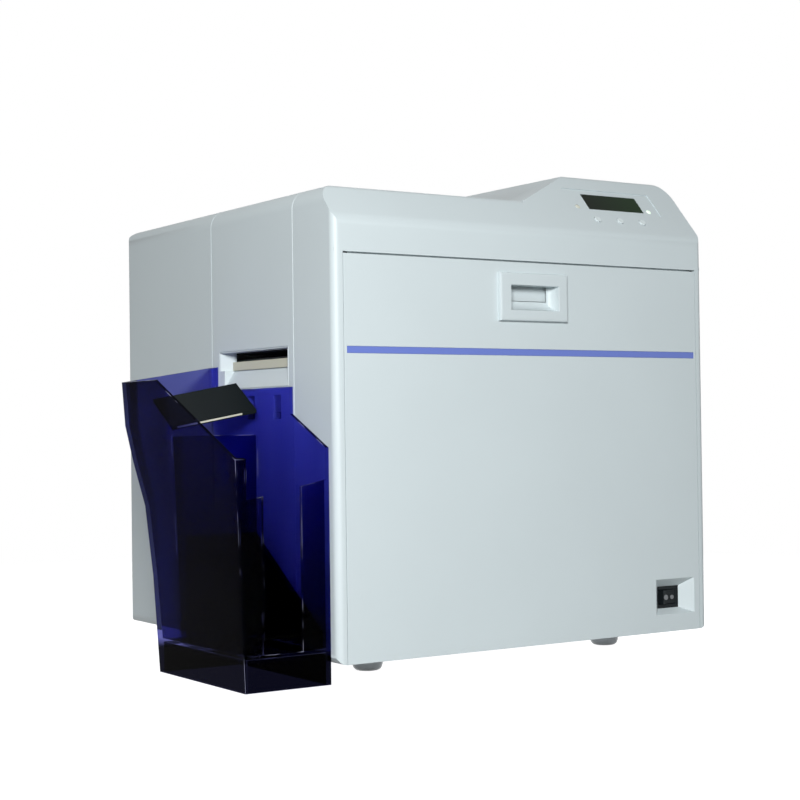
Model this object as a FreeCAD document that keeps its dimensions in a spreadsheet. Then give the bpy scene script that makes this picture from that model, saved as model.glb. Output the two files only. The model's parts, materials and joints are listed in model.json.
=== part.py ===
import FreeCAD, Part
import math
import os
from types import SimpleNamespace

import Sketcher
from FreeCAD import Placement, Rotation, Vector

# Card printer with a side card hopper. Millimetres and degrees.
# Places are worked out in the housing's own frame: x from its middle plane, y back from its
# front face, z up from the surface that it stands on. Each finished piece is then shifted so
# that the origin lies under the middle of the whole printer.

SIZES = {
    # Housing
    "body_width": 343.0,
    "body_depth": 347.0,
    "body_height": 332.0,
    "foot_height": 14.0,
    "foot_radius": 11.8,
    "foot_taper": 0.8,
    "foot_inset_x": 59.2,
    "foot_front_y": 56.5,
    "foot_inset_back": 47.0,
    "shell_wall": 3.0,
    "front_corner_radius": 5.8,
    "top_corner_radius": 13.8,
    "rear_corner_radius": 15.0,
    "bottom_corner_radius": 8.0,
    "front_seam_y": 55.5,
    "rear_seam_y": 182.3,
    "seam_gap": 0.6,
    "brow_bend_height": 307.0,
    "brow_angle": 49.0,
    "brow_bend_radius": 14.0,
    "brow_top_radius": 8.0,
    "plateau_rise": 25.5,
    "plateau_foot_inset": 161.5,
    "plateau_shoulder_inset": 105.7,
    "plateau_shoulder_radius": 10.0,
    # Shared clearances
    "overrun": 5.0,
    "running_gap": 0.05,
    "seat_gap": 0.3,
    "slip_gap": 0.5,
    # Base tray
    "tray_front_y": 18.0,
    "tray_sheet": 2.0,
    "tray_rim_height": 15.0,
    # Front door
    "door_side_inset": 7.9,
    "door_edge_gap": 0.6,
    "door_top_height": 282.8,
    "door_skin": 3.0,
    "door_pin_y": 8.0,
    "door_pin_height": 9.0,
    "door_pin_radius": 2.0,
    "pin_head_radius": 3.4,
    "pin_head_length": 1.2,
    "lug_radius": 4.5,
    "lug_width": 4.0,
    "bracket_switch_gap": 18.0,
    "bracket_sheet": 3.0,
    "bracket_back_y": 45.0,
    "bracket_foot_width": 15.0,
    "liner_side_inset": 5.35,
    "liner_bottom_height": 20.0,
    "liner_top_drop": 3.5,
    "liner_depth": 9.0,
    "liner_sheet": 2.0,
    "stripe_bottom_height": 213.7,
    "stripe_width": 4.8,
    "stripe_depth": 0.8,
    "stripe_end_inset": 2.2,
    # Door handle and latch
    "handle_half_width": 31.5,
    "handle_bottom_height": 239.0,
    "handle_height": 35.5,
    "handle_raise": 3.5,
    "handle_chamfer": 2.0,
    "recess_half_width": 22.8,
    "recess_bottom_rise": 8.0,
    "recess_mouth_height": 18.3,
    "recess_depth": 6.5,
    "recess_ramp_rise": 7.0,
    "recess_head_room": 2.5,
    "lip_thickness": 2.6,
    "pocket_wall": 2.0,
    "paddle_gap_y": 1.5,
    "paddle_sheet": 2.0,
    "paddle_arm_x": 14.0,
    "paddle_arm_width": 4.0,
    "latch_pin_y": 16.4,
    "latch_pin_drop": 8.7,
    "latch_pin_radius": 2.5,
    "latch_pin_half": 72.0,
    "latch_boss_radius": 4.0,
    "latch_lug_x": 36.0,
    "latch_lug_outer_x": 68.0,
    "latch_lug_width": 4.0,
    "hook_x": 60.0,
    "hook_width": 7.0,
    "hook_reach": 14.0,
    "hook_thickness": 3.5,
    "hook_nose_length": 2.5,
    "hook_nose_rise": 5.0,
    "shelf_depth": 32.0,
    "shelf_sheet": 2.5,
    "keeper_slot_length": 6.0,
    "keeper_back_gap": 0.6,
    # Power switch
    "switch_side_inset": 13.7,
    "switch_window_width": 39.8,
    "switch_window_bottom": 13.5,
    "switch_window_height": 27.5,
    "switch_left_taper": 8.0,
    "switch_right_taper": 10.1,
    "switch_bottom_taper": 4.1,
    "switch_top_taper": 6.4,
    "switch_depth": 8.0,
    "switch_collar_wall": 1.8,
    "switch_collar_gap": 0.6,
    "switch_notch_room": 3.6,
    "switch_flange_lap": 1.2,
    "switch_flange_thickness": 1.5,
    "switch_body_depth": 18.0,
    "switch_body_wall": 1.5,
    "switch_stand_thickness": 3.0,
    "rocker_half_width": 8.0,
    "rocker_half_height": 5.5,
    "rocker_side_gap": 0.8,
    "rocker_pivot_depth": 1.4,
    "rocker_tip_rise": 3.3,
    "rocker_ridge_rise": 1.2,
    "rocker_back_half": 6.0,
    "rocker_back_depth": 5.0,
    "rocker_tilt": 14.0,
    # Control panel on the sloped brow
    "panel_side_inset": 26.4,
    "panel_width": 88.5,
    "panel_low": 26.3,
    "panel_length": 26.0,
    "panel_recess": 0.7,
    "lcd_panel_inset": 16.7,
    "lcd_width": 56.3,
    "lcd_low": 30.1,
    "lcd_length": 17.6,
    "lcd_window_drop": 0.9,
    "lcd_window_sheet": 1.5,
    "led_outer_inset": 9.6,
    "led_inner_inset": 6.4,
    "led_up": 32.3,
    "led_radius": 2.3,
    "led_raise": 0.5,
    "button_panel_inset": 17.4,
    "button_pitch": 22.8,
    "button_up": 17.5,
    "button_radius": 2.9,
    "button_raise": 0.9,
    "button_flange_radius": 4.2,
    "button_flange_thickness": 1.2,
    "button_stem_radius": 1.5,
    "button_travel": 0.8,
    "board_depth": 9.5,
    "board_sheet": 1.6,
    "board_panel_inset": 0.4,
    "board_width": 92.0,
    "board_low": 9.0,
    "board_length": 49.0,
    "board_post_radius": 2.4,
    "board_post_inset": 3.5,
    "lcd_module_margin": 3.0,
    # Card exit in the left side
    "exit_front_y": 63.7,
    "exit_length": 106.2,
    "exit_bottom_height": 192.7,
    "exit_height": 28.4,
    "exit_depth": 10.5,
    "exit_back_wall": 2.0,
    "exit_edge": 0.8,
    "exit_fit_gap": 0.1,
    "exit_slot_length": 97.0,
    "exit_path_middle": 43.8,
    "exit_slot_height": 6.8,
    "exit_ramp_height": 13.3,
    "exit_lip_sheet": 1.6,
    # Card hopper
    "hopper_wall": 2.5,
    "hopper_front_y": 8.5,
    "hopper_floor_gap": 0.4,
    "hopper_width_bottom": 66.5,
    "hopper_width_top": 74.5,
    "hopper_below_exit": 0.7,
    "hopper_rim_rise": 18.0,
    "hopper_rim_fall": 11.5,
    "hopper_rim_y": 186.0,
    "hopper_outer_front_drop": 56.5,
    "hopper_outer_slope_y": 127.0,
    "hopper_inner_front_drop": 43.0,
    "hopper_inner_step_y": 57.0,
    "hopper_inner_step_drop": 19.4,
    "hopper_back_top_y": 172.0,
    "hopper_back_foot_y": 140.0,
    "hopper_back_low_y": 144.5,
    "hopper_back_low_z": 71.0,
    "hopper_back_mid_y": 153.0,
    "hopper_back_mid_z": 121.0,
    "hopper_back_high_y": 170.0,
    "hopper_back_high_drop": 72.0,
    "hopper_back_neck_y": 182.0,
    "hopper_back_neck_drop": 44.0,
    "hopper_base_height": 25.0,
    "hopper_partition_y": 105.5,
    "hopper_partition_drop": 34.0,
    "hopper_inner_post_width": 22.0,
    "hopper_outer_post_width": 15.0,
    "hopper_post_top_inner": 140.8,
    "hopper_post_top_outer": 128.6,
    "ramp_front_height": 12.0,
    "ramp_back_height": 76.0,
    "ramp_end_gap": 1.0,
    "ramp_side_gap": 1.7,
    "deflector_front_y": 106.5,
    "deflector_back_y": 138.0,
    "deflector_front_drop": 15.5,
    "deflector_back_rise": 5.0,
    "deflector_side_drop": 12.0,
    "deflector_sheet": 2.5,
    "hanger_front_y": 75.0,
    "hanger_pitch": 40.0,
    "hanger_width": 10.0,
    "hanger_thickness": 4.0,
    "hanger_below_exit": 22.7,
    "hanger_tongue": 2.0,
    "hanger_drop": 8.0,
    "hopper_lift": 12.0,
    # Mechanism frame
    "plate_side_gap": 8.5,
    "plate_front_y": 50.0,
    "plate_back_y": 172.0,
    "plate_sheet": 2.0,
    "plate_top": 296.0,
    "plate_foot": 12.0,
    "guide_low_z": 228.0,
    "guide_high_z": 233.8,
    "guide_sheet": 1.3,
    "guide_end_gap": 4.0,
    "guide_magazine_gap": 3.25,
    "guide_window_y": 62.0,
    "guide_window_length": 92.0,
    "guide_roller_room": 2.0,
    "card_width": 54.0,
    "card_length": 85.6,
    "card_room": 1.5,
    "magazine_inset": 46.5,
    "magazine_wall": 2.0,
    "magazine_height": 62.0,
    "magazine_notch_width": 30.0,
    "magazine_notch_depth": 50.0,
    # Rollers, belt and drive
    "shaft_radius": 3.0,
    "shaft_front_y": 47.0,
    "shaft_back_y": 177.0,
    "drive_shaft_back_y": 192.0,
    "transport_radius": 10.0,
    "transport_z": 219.7,
    "transport_front_y": 70.0,
    "transport_length": 76.0,
    "feed_x": 60.0,
    "exit_roller_inset": 31.5,
    "pulley_radius": 7.0,
    "pulley_front_y": 183.5,
    "pulley_width": 6.0,
    "belt_sheet": 1.2,
    "belt_width": 5.0,
    "heat_x": -20.0,
    "heat_z": 216.5,
    "heat_radius": 14.0,
    "counter_z": 240.9,
    "counter_radius": 9.0,
    "platen_z": 190.0,
    "platen_radius": 10.0,
    "heat_front_y": 66.0,
    "heat_length": 86.0,
    "gear_module": 1.0,
    "gear_front_y": 176.0,
    "gear_width": 6.0,
    "gear_backlash": 0.25,
    "motor_face_y": 191.0,
    "motor_size": 36.0,
    "motor_length": 34.0,
    "motor_shaft_radius": 2.5,
    "motor_shaft_depth": 8.0,
    "motor_post_radius": 3.0,
    "motor_post_x": 15.0,
    "motor_post_drop": 13.0,
    # Print head
    "head_pivot_x": 22.0,
    "head_pivot_z": 160.0,
    "head_boss_radius": 7.0,
    "head_arm_left": 5.0,
    "head_arm_right": 3.0,
    "head_arm_height": 40.0,
    "head_bar_height": 12.0,
    # Cassettes and spools
    "cassette_front_y": 44.0,
    "cassette_length": 118.5,
    "cassette_plate": 2.5,
    "cassette_floor": 2.0,
    "cassette_bar": 8.0,
    "cassette_pin_radius": 3.0,
    "cassette_pin_inset": 9.0,
    "cassette_bottom_z": 40.0,
    "cassette_side_gap": 10.0,
    "spool_gap": 6.0,
    "film_right_x": -12.0,
    "film_height": 158.0,
    "film_supply_inset": 45.0,
    "film_supply_radius": 32.0,
    "film_takeup_inset": 38.0,
    "film_takeup_radius": 22.0,
    "ribbon_left_x": 30.0,
    "ribbon_height": 110.0,
    "ribbon_supply_inset": 32.0,
    "ribbon_supply_radius": 24.0,
    "ribbon_takeup_inset": 35.0,
    "ribbon_takeup_radius": 20.0,
    "spool_core_radius": 12.0,
    "spool_hub_radius": 6.0,
    "spool_knob_radius": 14.0,
    "spool_knob_length": 7.0,
    "spool_knob_gap": 0.8,
    "spool_end_gap": 1.0,
    "spool_tail_length": 4.0,
    "roll_end_margin": 5.0,
    # Electrics
    "psu_side_gap": 13.5,
    "psu_width": 115.0,
    "psu_front_gap": 26.0,
    "psu_back_gap": 24.0,
    "psu_height": 60.0,
    "psu_slot_pitch": 9.0,
    "psu_slot_width": 3.0,
    "psu_slot_margin": 25.0,
    "psu_slot_depth": 2.0,
    "mainboard_left_x": -30.0,
    "mainboard_side_gap": 23.5,
    "mainboard_bottom_z": 32.0,
    "mainboard_height": 130.0,
    "mainboard_standoff": 8.0,
    "mainboard_post_radius": 3.0,
    "mainboard_post_inset": 8.0,
    "chip_size": 24.0,
    "chip_height": 6.0,
    "fan_inset": 81.5,
    "fan_z": 120.0,
    "fan_size": 60.0,
    "fan_depth": 20.0,
    "fan_bore_radius": 28.0,
    "fan_hub_radius": 12.0,
    "fan_spider_thickness": 2.0,
    "fan_spider_width": 4.0,
    "fan_axle_radius": 1.5,
    "fan_axle_length": 10.0,
    "fan_rotor_length": 14.0,
    "fan_rotor_gap": 1.0,
    "fan_blade_reach": 26.5,
    "fan_blade_chord": 13.0,
    "fan_blade_thickness": 1.3,
    "fan_blade_pitch": 35.0,
    "vent_width": 3.2,
    "vent_pitch": 6.4,
    "inlet_inset": 55.5,
    "inlet_z": 44.0,
    "inlet_body_width": 27.0,
    "inlet_body_height": 20.0,
    "inlet_body_depth": 25.0,
    "inlet_flange_lap": 2.5,
    "rear_proud": 1.5,
    "inlet_socket_wall": 1.6,
    "inlet_socket_depth": 16.0,
    "inlet_pin_width": 4.0,
    "inlet_pin_thickness": 2.0,
    "inlet_pin_length": 13.0,
    "inlet_pin_pitch": 7.0,
    "inlet_pin_rise": 2.2,
    "port_z": 40.0,
    "lan_inset": 121.5,
    "lan_width": 16.0,
    "lan_height": 14.0,
    "port_gap": 5.0,
    "usb_width": 12.0,
    "usb_height": 11.0,
    "port_depth": 18.0,
    "port_socket_wall": 1.7,
    "port_socket_depth": 12.0,
    "port_plate_lap": 3.0,
    "port_plate_sheet": 2.0,
    "screw_corner_inset": 21.5,
    "screw_inner_x": 50.0,
    "screw_height": 12.0,
    "screw_radius": 1.5,
    "screw_length": 12.0,
    "screw_head_radius": 3.2,
}

GEAR_TEETH = 42
PINION_TEETH = 14
FAN_BLADES = 7
VENT_SLOTS = 9
PSU_SLOTS = 7
FLANK_STEPS = 4

doc = FreeCAD.newDocument("card_printer")
sheet = doc.addObject("Spreadsheet::Sheet", "Sizes")


class Size:
    """A length, angle or share that knows its value and the expression that gives it."""

    def __init__(self, value, text):
        self.value = value
        self.text = text

    def __add__(self, other):
        other = as_size(other)
        return Size(self.value + other.value, "(%s + %s)" % (self.text, other.text))

    def __sub__(self, other):
        other = as_size(other)
        return Size(self.value - other.value, "(%s - %s)" % (self.text, other.text))

    def __mul__(self, other):
        other = as_size(other)
        return Size(self.value * other.value, "(%s * %s)" % (self.text, other.text))

    def __truediv__(self, other):
        other = as_size(other)
        return Size(self.value / other.value, "(%s / %s)" % (self.text, other.text))

    def __neg__(self):
        return Size(-self.value, "(0 - %s)" % self.text)

    __radd__ = __add__
    __rmul__ = __mul__

    def __rsub__(self, other):
        return as_size(other) - self


def as_size(value):
    if isinstance(value, Size):
        return value
    return Size(float(value), repr(float(value)))


def sine(angle):
    return Size(math.sin(math.radians(angle.value)), "sin(%s * 1deg)" % angle.text)


def cosine(angle):
    return Size(math.cos(math.radians(angle.value)), "cos(%s * 1deg)" % angle.text)


def fill_sheet():
    sizes = {}
    for row, (alias, value) in enumerate(SIZES.items(), start=1):
        sheet.set("A%d" % row, alias)
        sheet.set("B%d" % row, str(value))
        sheet.setAlias("B%d" % row, alias)
        sizes[alias] = Size(value, "Sizes.%s" % alias)
    doc.recompute()
    return SimpleNamespace(**sizes)


S = fill_sheet()

half = S.body_width / 2
base_z = S.foot_height
body_top = base_z + S.body_height
plateau_top = body_top + S.plateau_rise
bend_z = base_z + S.brow_bend_height
slope_sin = sine(S.brow_angle)
slope_cos = cosine(S.brow_angle)
slope_tan = slope_sin / slope_cos
inner_half = half - S.shell_wall
back_wall_y = S.body_depth - S.shell_wall
foot_x = half - S.foot_inset_x
foot_back_y = S.body_depth - S.foot_inset_back
plateau_foot_x = half - S.plateau_foot_inset
plateau_shoulder_x = half - S.plateau_shoulder_inset
opening_half = half - S.bottom_corner_radius
opening_back = S.body_depth - S.bottom_corner_radius
side_x = -half
seam_half = S.seam_gap / 2

shift_x = (S.seat_gap + S.hopper_width_top) / 2
shift_y = (S.handle_raise - S.body_depth - S.rear_proud) / 2

places = {}
sub_parts = []


# Helpers: every one of them binds its sizes and its place to the sheet.


def bind(obj, prop, size):
    obj.setExpression(prop, as_size(size).text)


def place(obj, x, y, z, rotation=None):
    spot = [as_size(x), as_size(y), as_size(z)]
    places[obj.Name] = spot
    turn = rotation if rotation else Rotation()
    obj.Placement = Placement(Vector(*[s.value for s in spot]), turn)
    for axis, size in zip("xyz", spot):
        bind(obj, "Placement.Base.%s" % axis, size)


def block(name, x, y, z):
    """A box from three (low, high) pairs."""
    obj = doc.addObject("Part::Box", name)
    for prop, span in (("Length", x), ("Width", y), ("Height", z)):
        size = as_size(span[1]) - span[0]
        setattr(obj, prop, size.value)
        bind(obj, prop, size)
    place(obj, x[0], y[0], z[0])
    return obj


AXIS_TURN = {
    "X": Rotation(Vector(0, 1, 0), 90),
    "Y": Rotation(Vector(1, 0, 0), -90),
    "Z": Rotation(),
}


def axis_spot(axis, at, low):
    """The point on a rod's axis at its low end; at holds the two other coordinates in order."""
    if axis == "X":
        return low, at[0], at[1]
    if axis == "Y":
        return at[0], low, at[1]
    return at[0], at[1], low


def rod(name, axis, at, radius, span):
    obj = doc.addObject("Part::Cylinder", name)
    length = as_size(span[1]) - span[0]
    obj.Radius = as_size(radius).value
    obj.Height = length.value
    bind(obj, "Radius", radius)
    bind(obj, "Height", length)
    place(obj, *axis_spot(axis, at, span[0]), rotation=AXIS_TURN[axis])
    return obj


def cone(name, at, low_radius, high_radius, span):
    obj = doc.addObject("Part::Cone", name)
    length = as_size(span[1]) - span[0]
    for prop, size in (("Radius1", low_radius), ("Radius2", high_radius), ("Height", length)):
        setattr(obj, prop, as_size(size).value)
        bind(obj, prop, size)
    place(obj, *axis_spot("Z", at, span[0]))
    return obj


def frustum(name, y, front, back):
    """A tapering block along Y; front and back are ((x low, x high), (z low, z high))."""
    obj = doc.addObject("Part::Wedge", name)
    faces = {
        "Ymin": y[0], "Ymax": y[1],
        "Xmin": front[0][0], "Xmax": front[0][1],
        "Zmin": front[1][0], "Zmax": front[1][1],
        "X2min": back[0][0], "X2max": back[0][1],
        "Z2min": back[1][0], "Z2max": back[1][1],
    }
    for prop, size in faces.items():
        setattr(obj, prop, as_size(size).value)
        bind(obj, prop, size)
    return obj


def fuse(name, *parts):
    obj = doc.addObject("Part::MultiFuse", name)
    obj.Shapes = list(parts)
    return obj


def common(name, *parts):
    obj = doc.addObject("Part::MultiCommon", name)
    obj.Shapes = list(parts)
    return obj


def cut(name, base, *tools):
    obj = doc.addObject("Part::Cut", name)
    obj.Base = base
    obj.Tool = tools[0] if len(tools) == 1 else fuse(name + "_tools", *tools)
    return obj


def origin_plane(body, role):
    return [f for f in body.Origin.OriginFeatures if f.Role == role][0]


def polygon(sketch, points):
    """A closed outline whose corners are held by distances from the sketch's origin."""
    spots = [Vector(as_size(u).value, as_size(v).value, 0) for u, v in points]
    count = len(spots)
    for i in range(count):
        sketch.addGeometry(Part.LineSegment(spots[i], spots[(i + 1) % count]), False)
    for i in range(count):
        sketch.addConstraint(Sketcher.Constraint("Coincident", i, 2, (i + 1) % count, 1))
    for i, point in enumerate(points):
        for kind, axis_line, size in (("DistanceX", -2, point[0]), ("DistanceY", -1, point[1])):
            size = as_size(size)
            if size.value == 0:
                sketch.addConstraint(Sketcher.Constraint("PointOnObject", i, 1, axis_line))
                continue
            index = sketch.addConstraint(Sketcher.Constraint(kind, -1, 1, i, 1, size.value))
            sketch.setExpression("Constraints[%d]" % index, size.text)


def attached_sketch(body, name, role, offset):
    sketch = body.newObject("Sketcher::SketchObject", name)
    sketch.AttachmentSupport = [(origin_plane(body, role), "")]
    sketch.MapMode = "FlatFace"
    offset = as_size(offset)
    sketch.AttachmentOffset = Placement(Vector(0, 0, offset.value), Rotation())
    sketch.setExpression("AttachmentOffset.Base.z", offset.text)
    return sketch


PLANES = {"XY": ("XY_Plane", 1), "XZ": ("XZ_Plane", -1), "YZ": ("YZ_Plane", 1)}
PLANE_AXES = {"XY": (0, 1), "XZ": (0, 2), "YZ": (1, 2)}


def corner_edges(shape, plane, corner):
    """Names of the edges that run straight along the pad at one corner of its outline."""
    first, second = PLANE_AXES[plane]
    names = []
    for number, edge in enumerate(shape.Edges, start=1):
        ends = [v.Point for v in edge.Vertexes]
        near = [
            abs(p[first] - corner[0]) + abs(p[second] - corner[1]) < edge.Length * 1e-4
            for p in ends
        ]
        if len(ends) == 2 and all(near):
            names.append("Edge%d" % number)
    return names


def prism(name, plane, points, span, rounds=()):
    """A padded outline in the XY, XZ or YZ plane. rounds holds (corner number, radius)."""
    role, side = PLANES[plane]
    body = doc.addObject("PartDesign::Body", name)
    sketch = attached_sketch(body, name + "_outline", role, as_size(span[0]) * side)
    polygon(sketch, points)
    pad = body.newObject("PartDesign::Pad", name + "_pad")
    pad.Profile = sketch
    length = as_size(span[1]) - span[0]
    pad.Length = length.value
    pad.setExpression("Length", length.text)
    pad.Reversed = side < 0
    body.Tip = pad
    last = pad
    for corner, radius in rounds:
        doc.recompute()
        spot = [as_size(c).value for c in points[corner]]
        fillet = body.newObject("PartDesign::Fillet", "%s_round%d" % (name, corner))
        fillet.Base = (last, corner_edges(last.Shape, plane, spot))
        radius = as_size(radius)
        fillet.Radius = radius.value
        fillet.setExpression("Radius", radius.text)
        body.Tip = fillet
        last = fillet
    return body


def turned(name, x, z, steps):
    """A piece turned about an axis along Y through (x, z). steps holds (y start, y end, radius)."""
    body = doc.addObject("PartDesign::Body", name)
    sketch = attached_sketch(body, name + "_half", "XY_Plane", 0)
    points = [(0, steps[0][0])]
    for start, end, radius in steps:
        points += [(radius, start), (radius, end)]
    points.append((0, steps[-1][1]))
    polygon(sketch, points)
    turn = body.newObject("PartDesign::Revolution", name + "_turn")
    turn.Profile = sketch
    turn.ReferenceAxis = (sketch, ["V_Axis"])
    turn.Angle = 360
    body.Tip = turn
    place(body, x, 0, z)
    return body


def sub_part(obj, label):
    """Names a finished piece and shifts it into the printer's own frame."""
    spot = places.get(obj.Name, [as_size(0), as_size(0), as_size(0)])
    turn = obj.Placement.Rotation
    place(obj, spot[0] + shift_x, spot[1] + shift_y, spot[2], rotation=turn)
    obj.Label = label
    sub_parts.append(obj)
    return obj


def feature(name, shape):
    obj = doc.addObject("Part::Feature", name)
    obj.Shape = shape
    return obj


# The sloped brow has its own frame: up the slope from the bend, and out along its normal.


def slope_spot(up, out):
    return up * slope_cos - as_size(out) * slope_sin, bend_z + up * slope_sin + as_size(out) * slope_cos


def slope_block(name, x, up, out):
    obj = block(name, x, up, out)
    y, z = slope_spot(as_size(up[0]), out[0])
    place(obj, x[0], y, z, rotation=Rotation(Vector(1, 0, 0), S.brow_angle.value))
    bind(obj, "Placement.Rotation.Angle", S.brow_angle)
    return obj


def slope_rod(name, x, up, radius, out):
    obj = rod(name, "Z", (0, 0), radius, out)
    y, z = slope_spot(as_size(up), out[0])
    place(obj, x, y, z, rotation=Rotation(Vector(1, 0, 0), S.brow_angle.value))
    bind(obj, "Placement.Rotation.Angle", S.brow_angle)
    return obj


# Housing


def casing(name, inset):
    """The housing's solid form, drawn in by inset all round."""
    inset = as_size(inset)
    bottom = base_z + inset
    side = half - inset
    low_top = body_top - inset
    high_top = plateau_top - inset
    corner = S.top_corner_radius - inset
    low_corner = S.bottom_corner_radius - inset
    front = inset
    back = S.body_depth - inset
    start_z = bend_z + inset * slope_tan - inset / slope_cos
    long = (-S.overrun, S.body_depth + S.overrun)
    wide = (-half - S.overrun, half + S.overrun)
    forms = []
    for tag, top, section in (
        ("low", low_top, [(-side, bottom), (side, bottom), (side, low_top), (-side, low_top)]),
        (
            "high",
            high_top,
            [
                (plateau_foot_x, bottom),
                (side, bottom),
                (side, high_top),
                (plateau_shoulder_x, high_top),
                (plateau_foot_x, low_top),
            ],
        ),
    ):
        if tag == "low":
            rounds = [(0, low_corner), (1, low_corner), (3, corner)]
        else:
            rounds = [(1, low_corner), (2, corner), (3, S.plateau_shoulder_radius - inset)]
        across = prism("%s_%s_across" % (name, tag), "XZ", section, long, rounds)
        slope_y = (top - bend_z + inset / slope_cos) / slope_tan
        profile = [(front, bottom), (back, bottom), (back, top), (slope_y, top), (front, start_z)]
        along_rounds = [
            (1, low_corner),
            (2, S.rear_corner_radius - inset),
            (3, S.brow_top_radius - inset),
            (4, S.brow_bend_radius - inset),
        ]
        along = prism("%s_%s_along" % (name, tag), "YZ", profile, wide, along_rounds)
        forms.append((across, along))
    plan_points = [(-side, front), (side, front), (side, back), (-side, back)]
    plan_rounds = [
        (0, S.front_corner_radius - inset),
        (1, S.front_corner_radius - inset),
        (2, S.rear_corner_radius - inset),
        (3, S.rear_corner_radius - inset),
    ]
    plan = prism(name + "_plan", "XY", plan_points, (bottom, plateau_top + S.overrun), plan_rounds)
    solids = [
        common("%s_form%d" % (name, number), across, along, plan)
        for number, (across, along) in enumerate(forms)
    ]
    return fuse(name, *solids)


casing_underside = block(
    "casing_underside",
    (-opening_half, opening_half),
    (-S.overrun, opening_back),
    (base_z - S.overrun, base_z + S.shell_wall + S.seat_gap),
)
casing_shell = cut(
    "casing_shell", casing("casing_outer", 0), casing("casing_inner", S.shell_wall), casing_underside
)


def casing_slice(name, start, end):
    slab = block(
        name + "_slab",
        (-half - S.overrun, half + S.overrun),
        (start, end),
        (base_z - S.overrun, plateau_top + S.overrun),
    )
    return common(name + "_slice", casing_shell, slab)


door_half = half - S.door_side_inset - S.door_edge_gap / 2
door_top = base_z + S.door_top_height - S.door_edge_gap / 2
brow_bottom = door_top + S.door_edge_gap * 2
hook_nose_y = S.latch_pin_y + S.hook_reach
panel_x = (half - S.panel_side_inset - S.panel_width, half - S.panel_side_inset)
lcd_x = (panel_x[0] + S.lcd_panel_inset, panel_x[0] + S.lcd_panel_inset + S.lcd_width)
lcd_up = (S.lcd_low, S.lcd_low + S.lcd_length)
led_xs = (panel_x[0] + S.led_inner_inset, panel_x[1] - S.led_outer_inset)


def button_x(number):
    return panel_x[0] + S.button_panel_inset + S.button_pitch * number


def make_front_frame():
    opening = block(
        "door_opening",
        (-door_half - S.door_edge_gap, door_half + S.door_edge_gap),
        (-S.overrun, S.tray_front_y + S.tray_sheet),
        (base_z - S.overrun, brow_bottom),
    )
    shelf = block(
        "brow_shelf",
        (-inner_half - S.shell_wall / 2, inner_half + S.shell_wall / 2),
        (S.shell_wall / 2, S.shelf_depth),
        (brow_bottom, brow_bottom + S.shelf_sheet),
    )
    keepers = [
        block(
            "keeper_slot%d" % side,
            (S.hook_x * side - S.hook_width, S.hook_x * side + S.hook_width),
            (hook_nose_y - S.keeper_slot_length, hook_nose_y + S.keeper_back_gap),
            (brow_bottom - S.overrun, brow_bottom + S.shelf_sheet + S.overrun),
        )
        for side in (-1, 1)
    ]
    through = (-S.shell_wall - S.overrun, S.overrun)
    panel = slope_block(
        "panel_recess_cut",
        panel_x,
        (S.panel_low, S.panel_low + S.panel_length),
        (-S.panel_recess, S.overrun),
    )
    lcd = slope_block("lcd_hole", lcd_x, lcd_up, through)
    leds = [
        slope_rod("led_hole%d" % n, x, S.led_up, S.led_radius + S.running_gap, through)
        for n, x in enumerate(led_xs)
    ]
    buttons = [
        slope_rod("button_hole%d" % n, button_x(n), S.button_up, S.button_radius + S.seat_gap, through)
        for n in range(3)
    ]
    slice_ = casing_slice("front_frame", -S.overrun, S.front_seam_y - seam_half)
    # The slope's holes must not reach the shelf, so it joins after they are cut.
    upper = cut("front_frame_holed", slice_, opening, panel, lcd, *leds, *buttons)
    shelf_slotted = cut("brow_shelf_slotted", shelf, *keepers)
    sub_part(fuse("front_frame_whole", upper, shelf_slotted), "front_frame")


exit_bottom = base_z + S.exit_bottom_height
exit_top = exit_bottom + S.exit_height
exit_back_y = S.exit_front_y + S.exit_length
hanger_z = exit_bottom - S.hanger_below_exit


def hanger_span(number):
    start = S.hanger_front_y + S.hanger_pitch * number
    return start, start + S.hanger_width


def make_middle_cover():
    wall = (-half - S.overrun, -inner_half + S.seat_gap)
    hole = block(
        "exit_hole",
        wall,
        (S.exit_front_y - S.exit_fit_gap, exit_back_y + S.exit_fit_gap),
        (exit_bottom - S.exit_fit_gap, exit_top + S.exit_fit_gap),
    )
    slots = []
    for number in range(2):
        start, end = hanger_span(number)
        slots.append(
            block(
                "hanger_slot%d" % number,
                wall,
                (start - S.slip_gap, end + S.slip_gap),
                (
                    hanger_z - S.slip_gap,
                    hanger_z + S.hanger_thickness + S.hopper_lift + S.slip_gap,
                ),
            )
        )
    slice_ = casing_slice("middle_cover", S.front_seam_y + seam_half, S.rear_seam_y - seam_half)
    sub_part(cut("middle_cover_cut", slice_, hole, *slots), "middle_cover")


screw_outer_x = half - S.screw_corner_inset
screw_xs = (-screw_outer_x, -S.screw_inner_x, S.screw_inner_x, screw_outer_x)
screw_z = base_z + S.screw_height
fan_x = S.fan_inset - half
inlet_x = half - S.inlet_inset
inlet_span = (inlet_x - S.inlet_body_width / 2, inlet_x + S.inlet_body_width / 2)
lan_x = (half - S.lan_inset, half - S.lan_inset + S.lan_width)
usb_x = (lan_x[1] + S.port_gap, lan_x[1] + S.port_gap + S.usb_width)
inlet_rise = (S.inlet_z - S.inlet_body_height / 2, S.inlet_z + S.inlet_body_height / 2)


def grown(span, gap):
    return as_size(span[0]) - gap, as_size(span[1]) + gap


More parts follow.
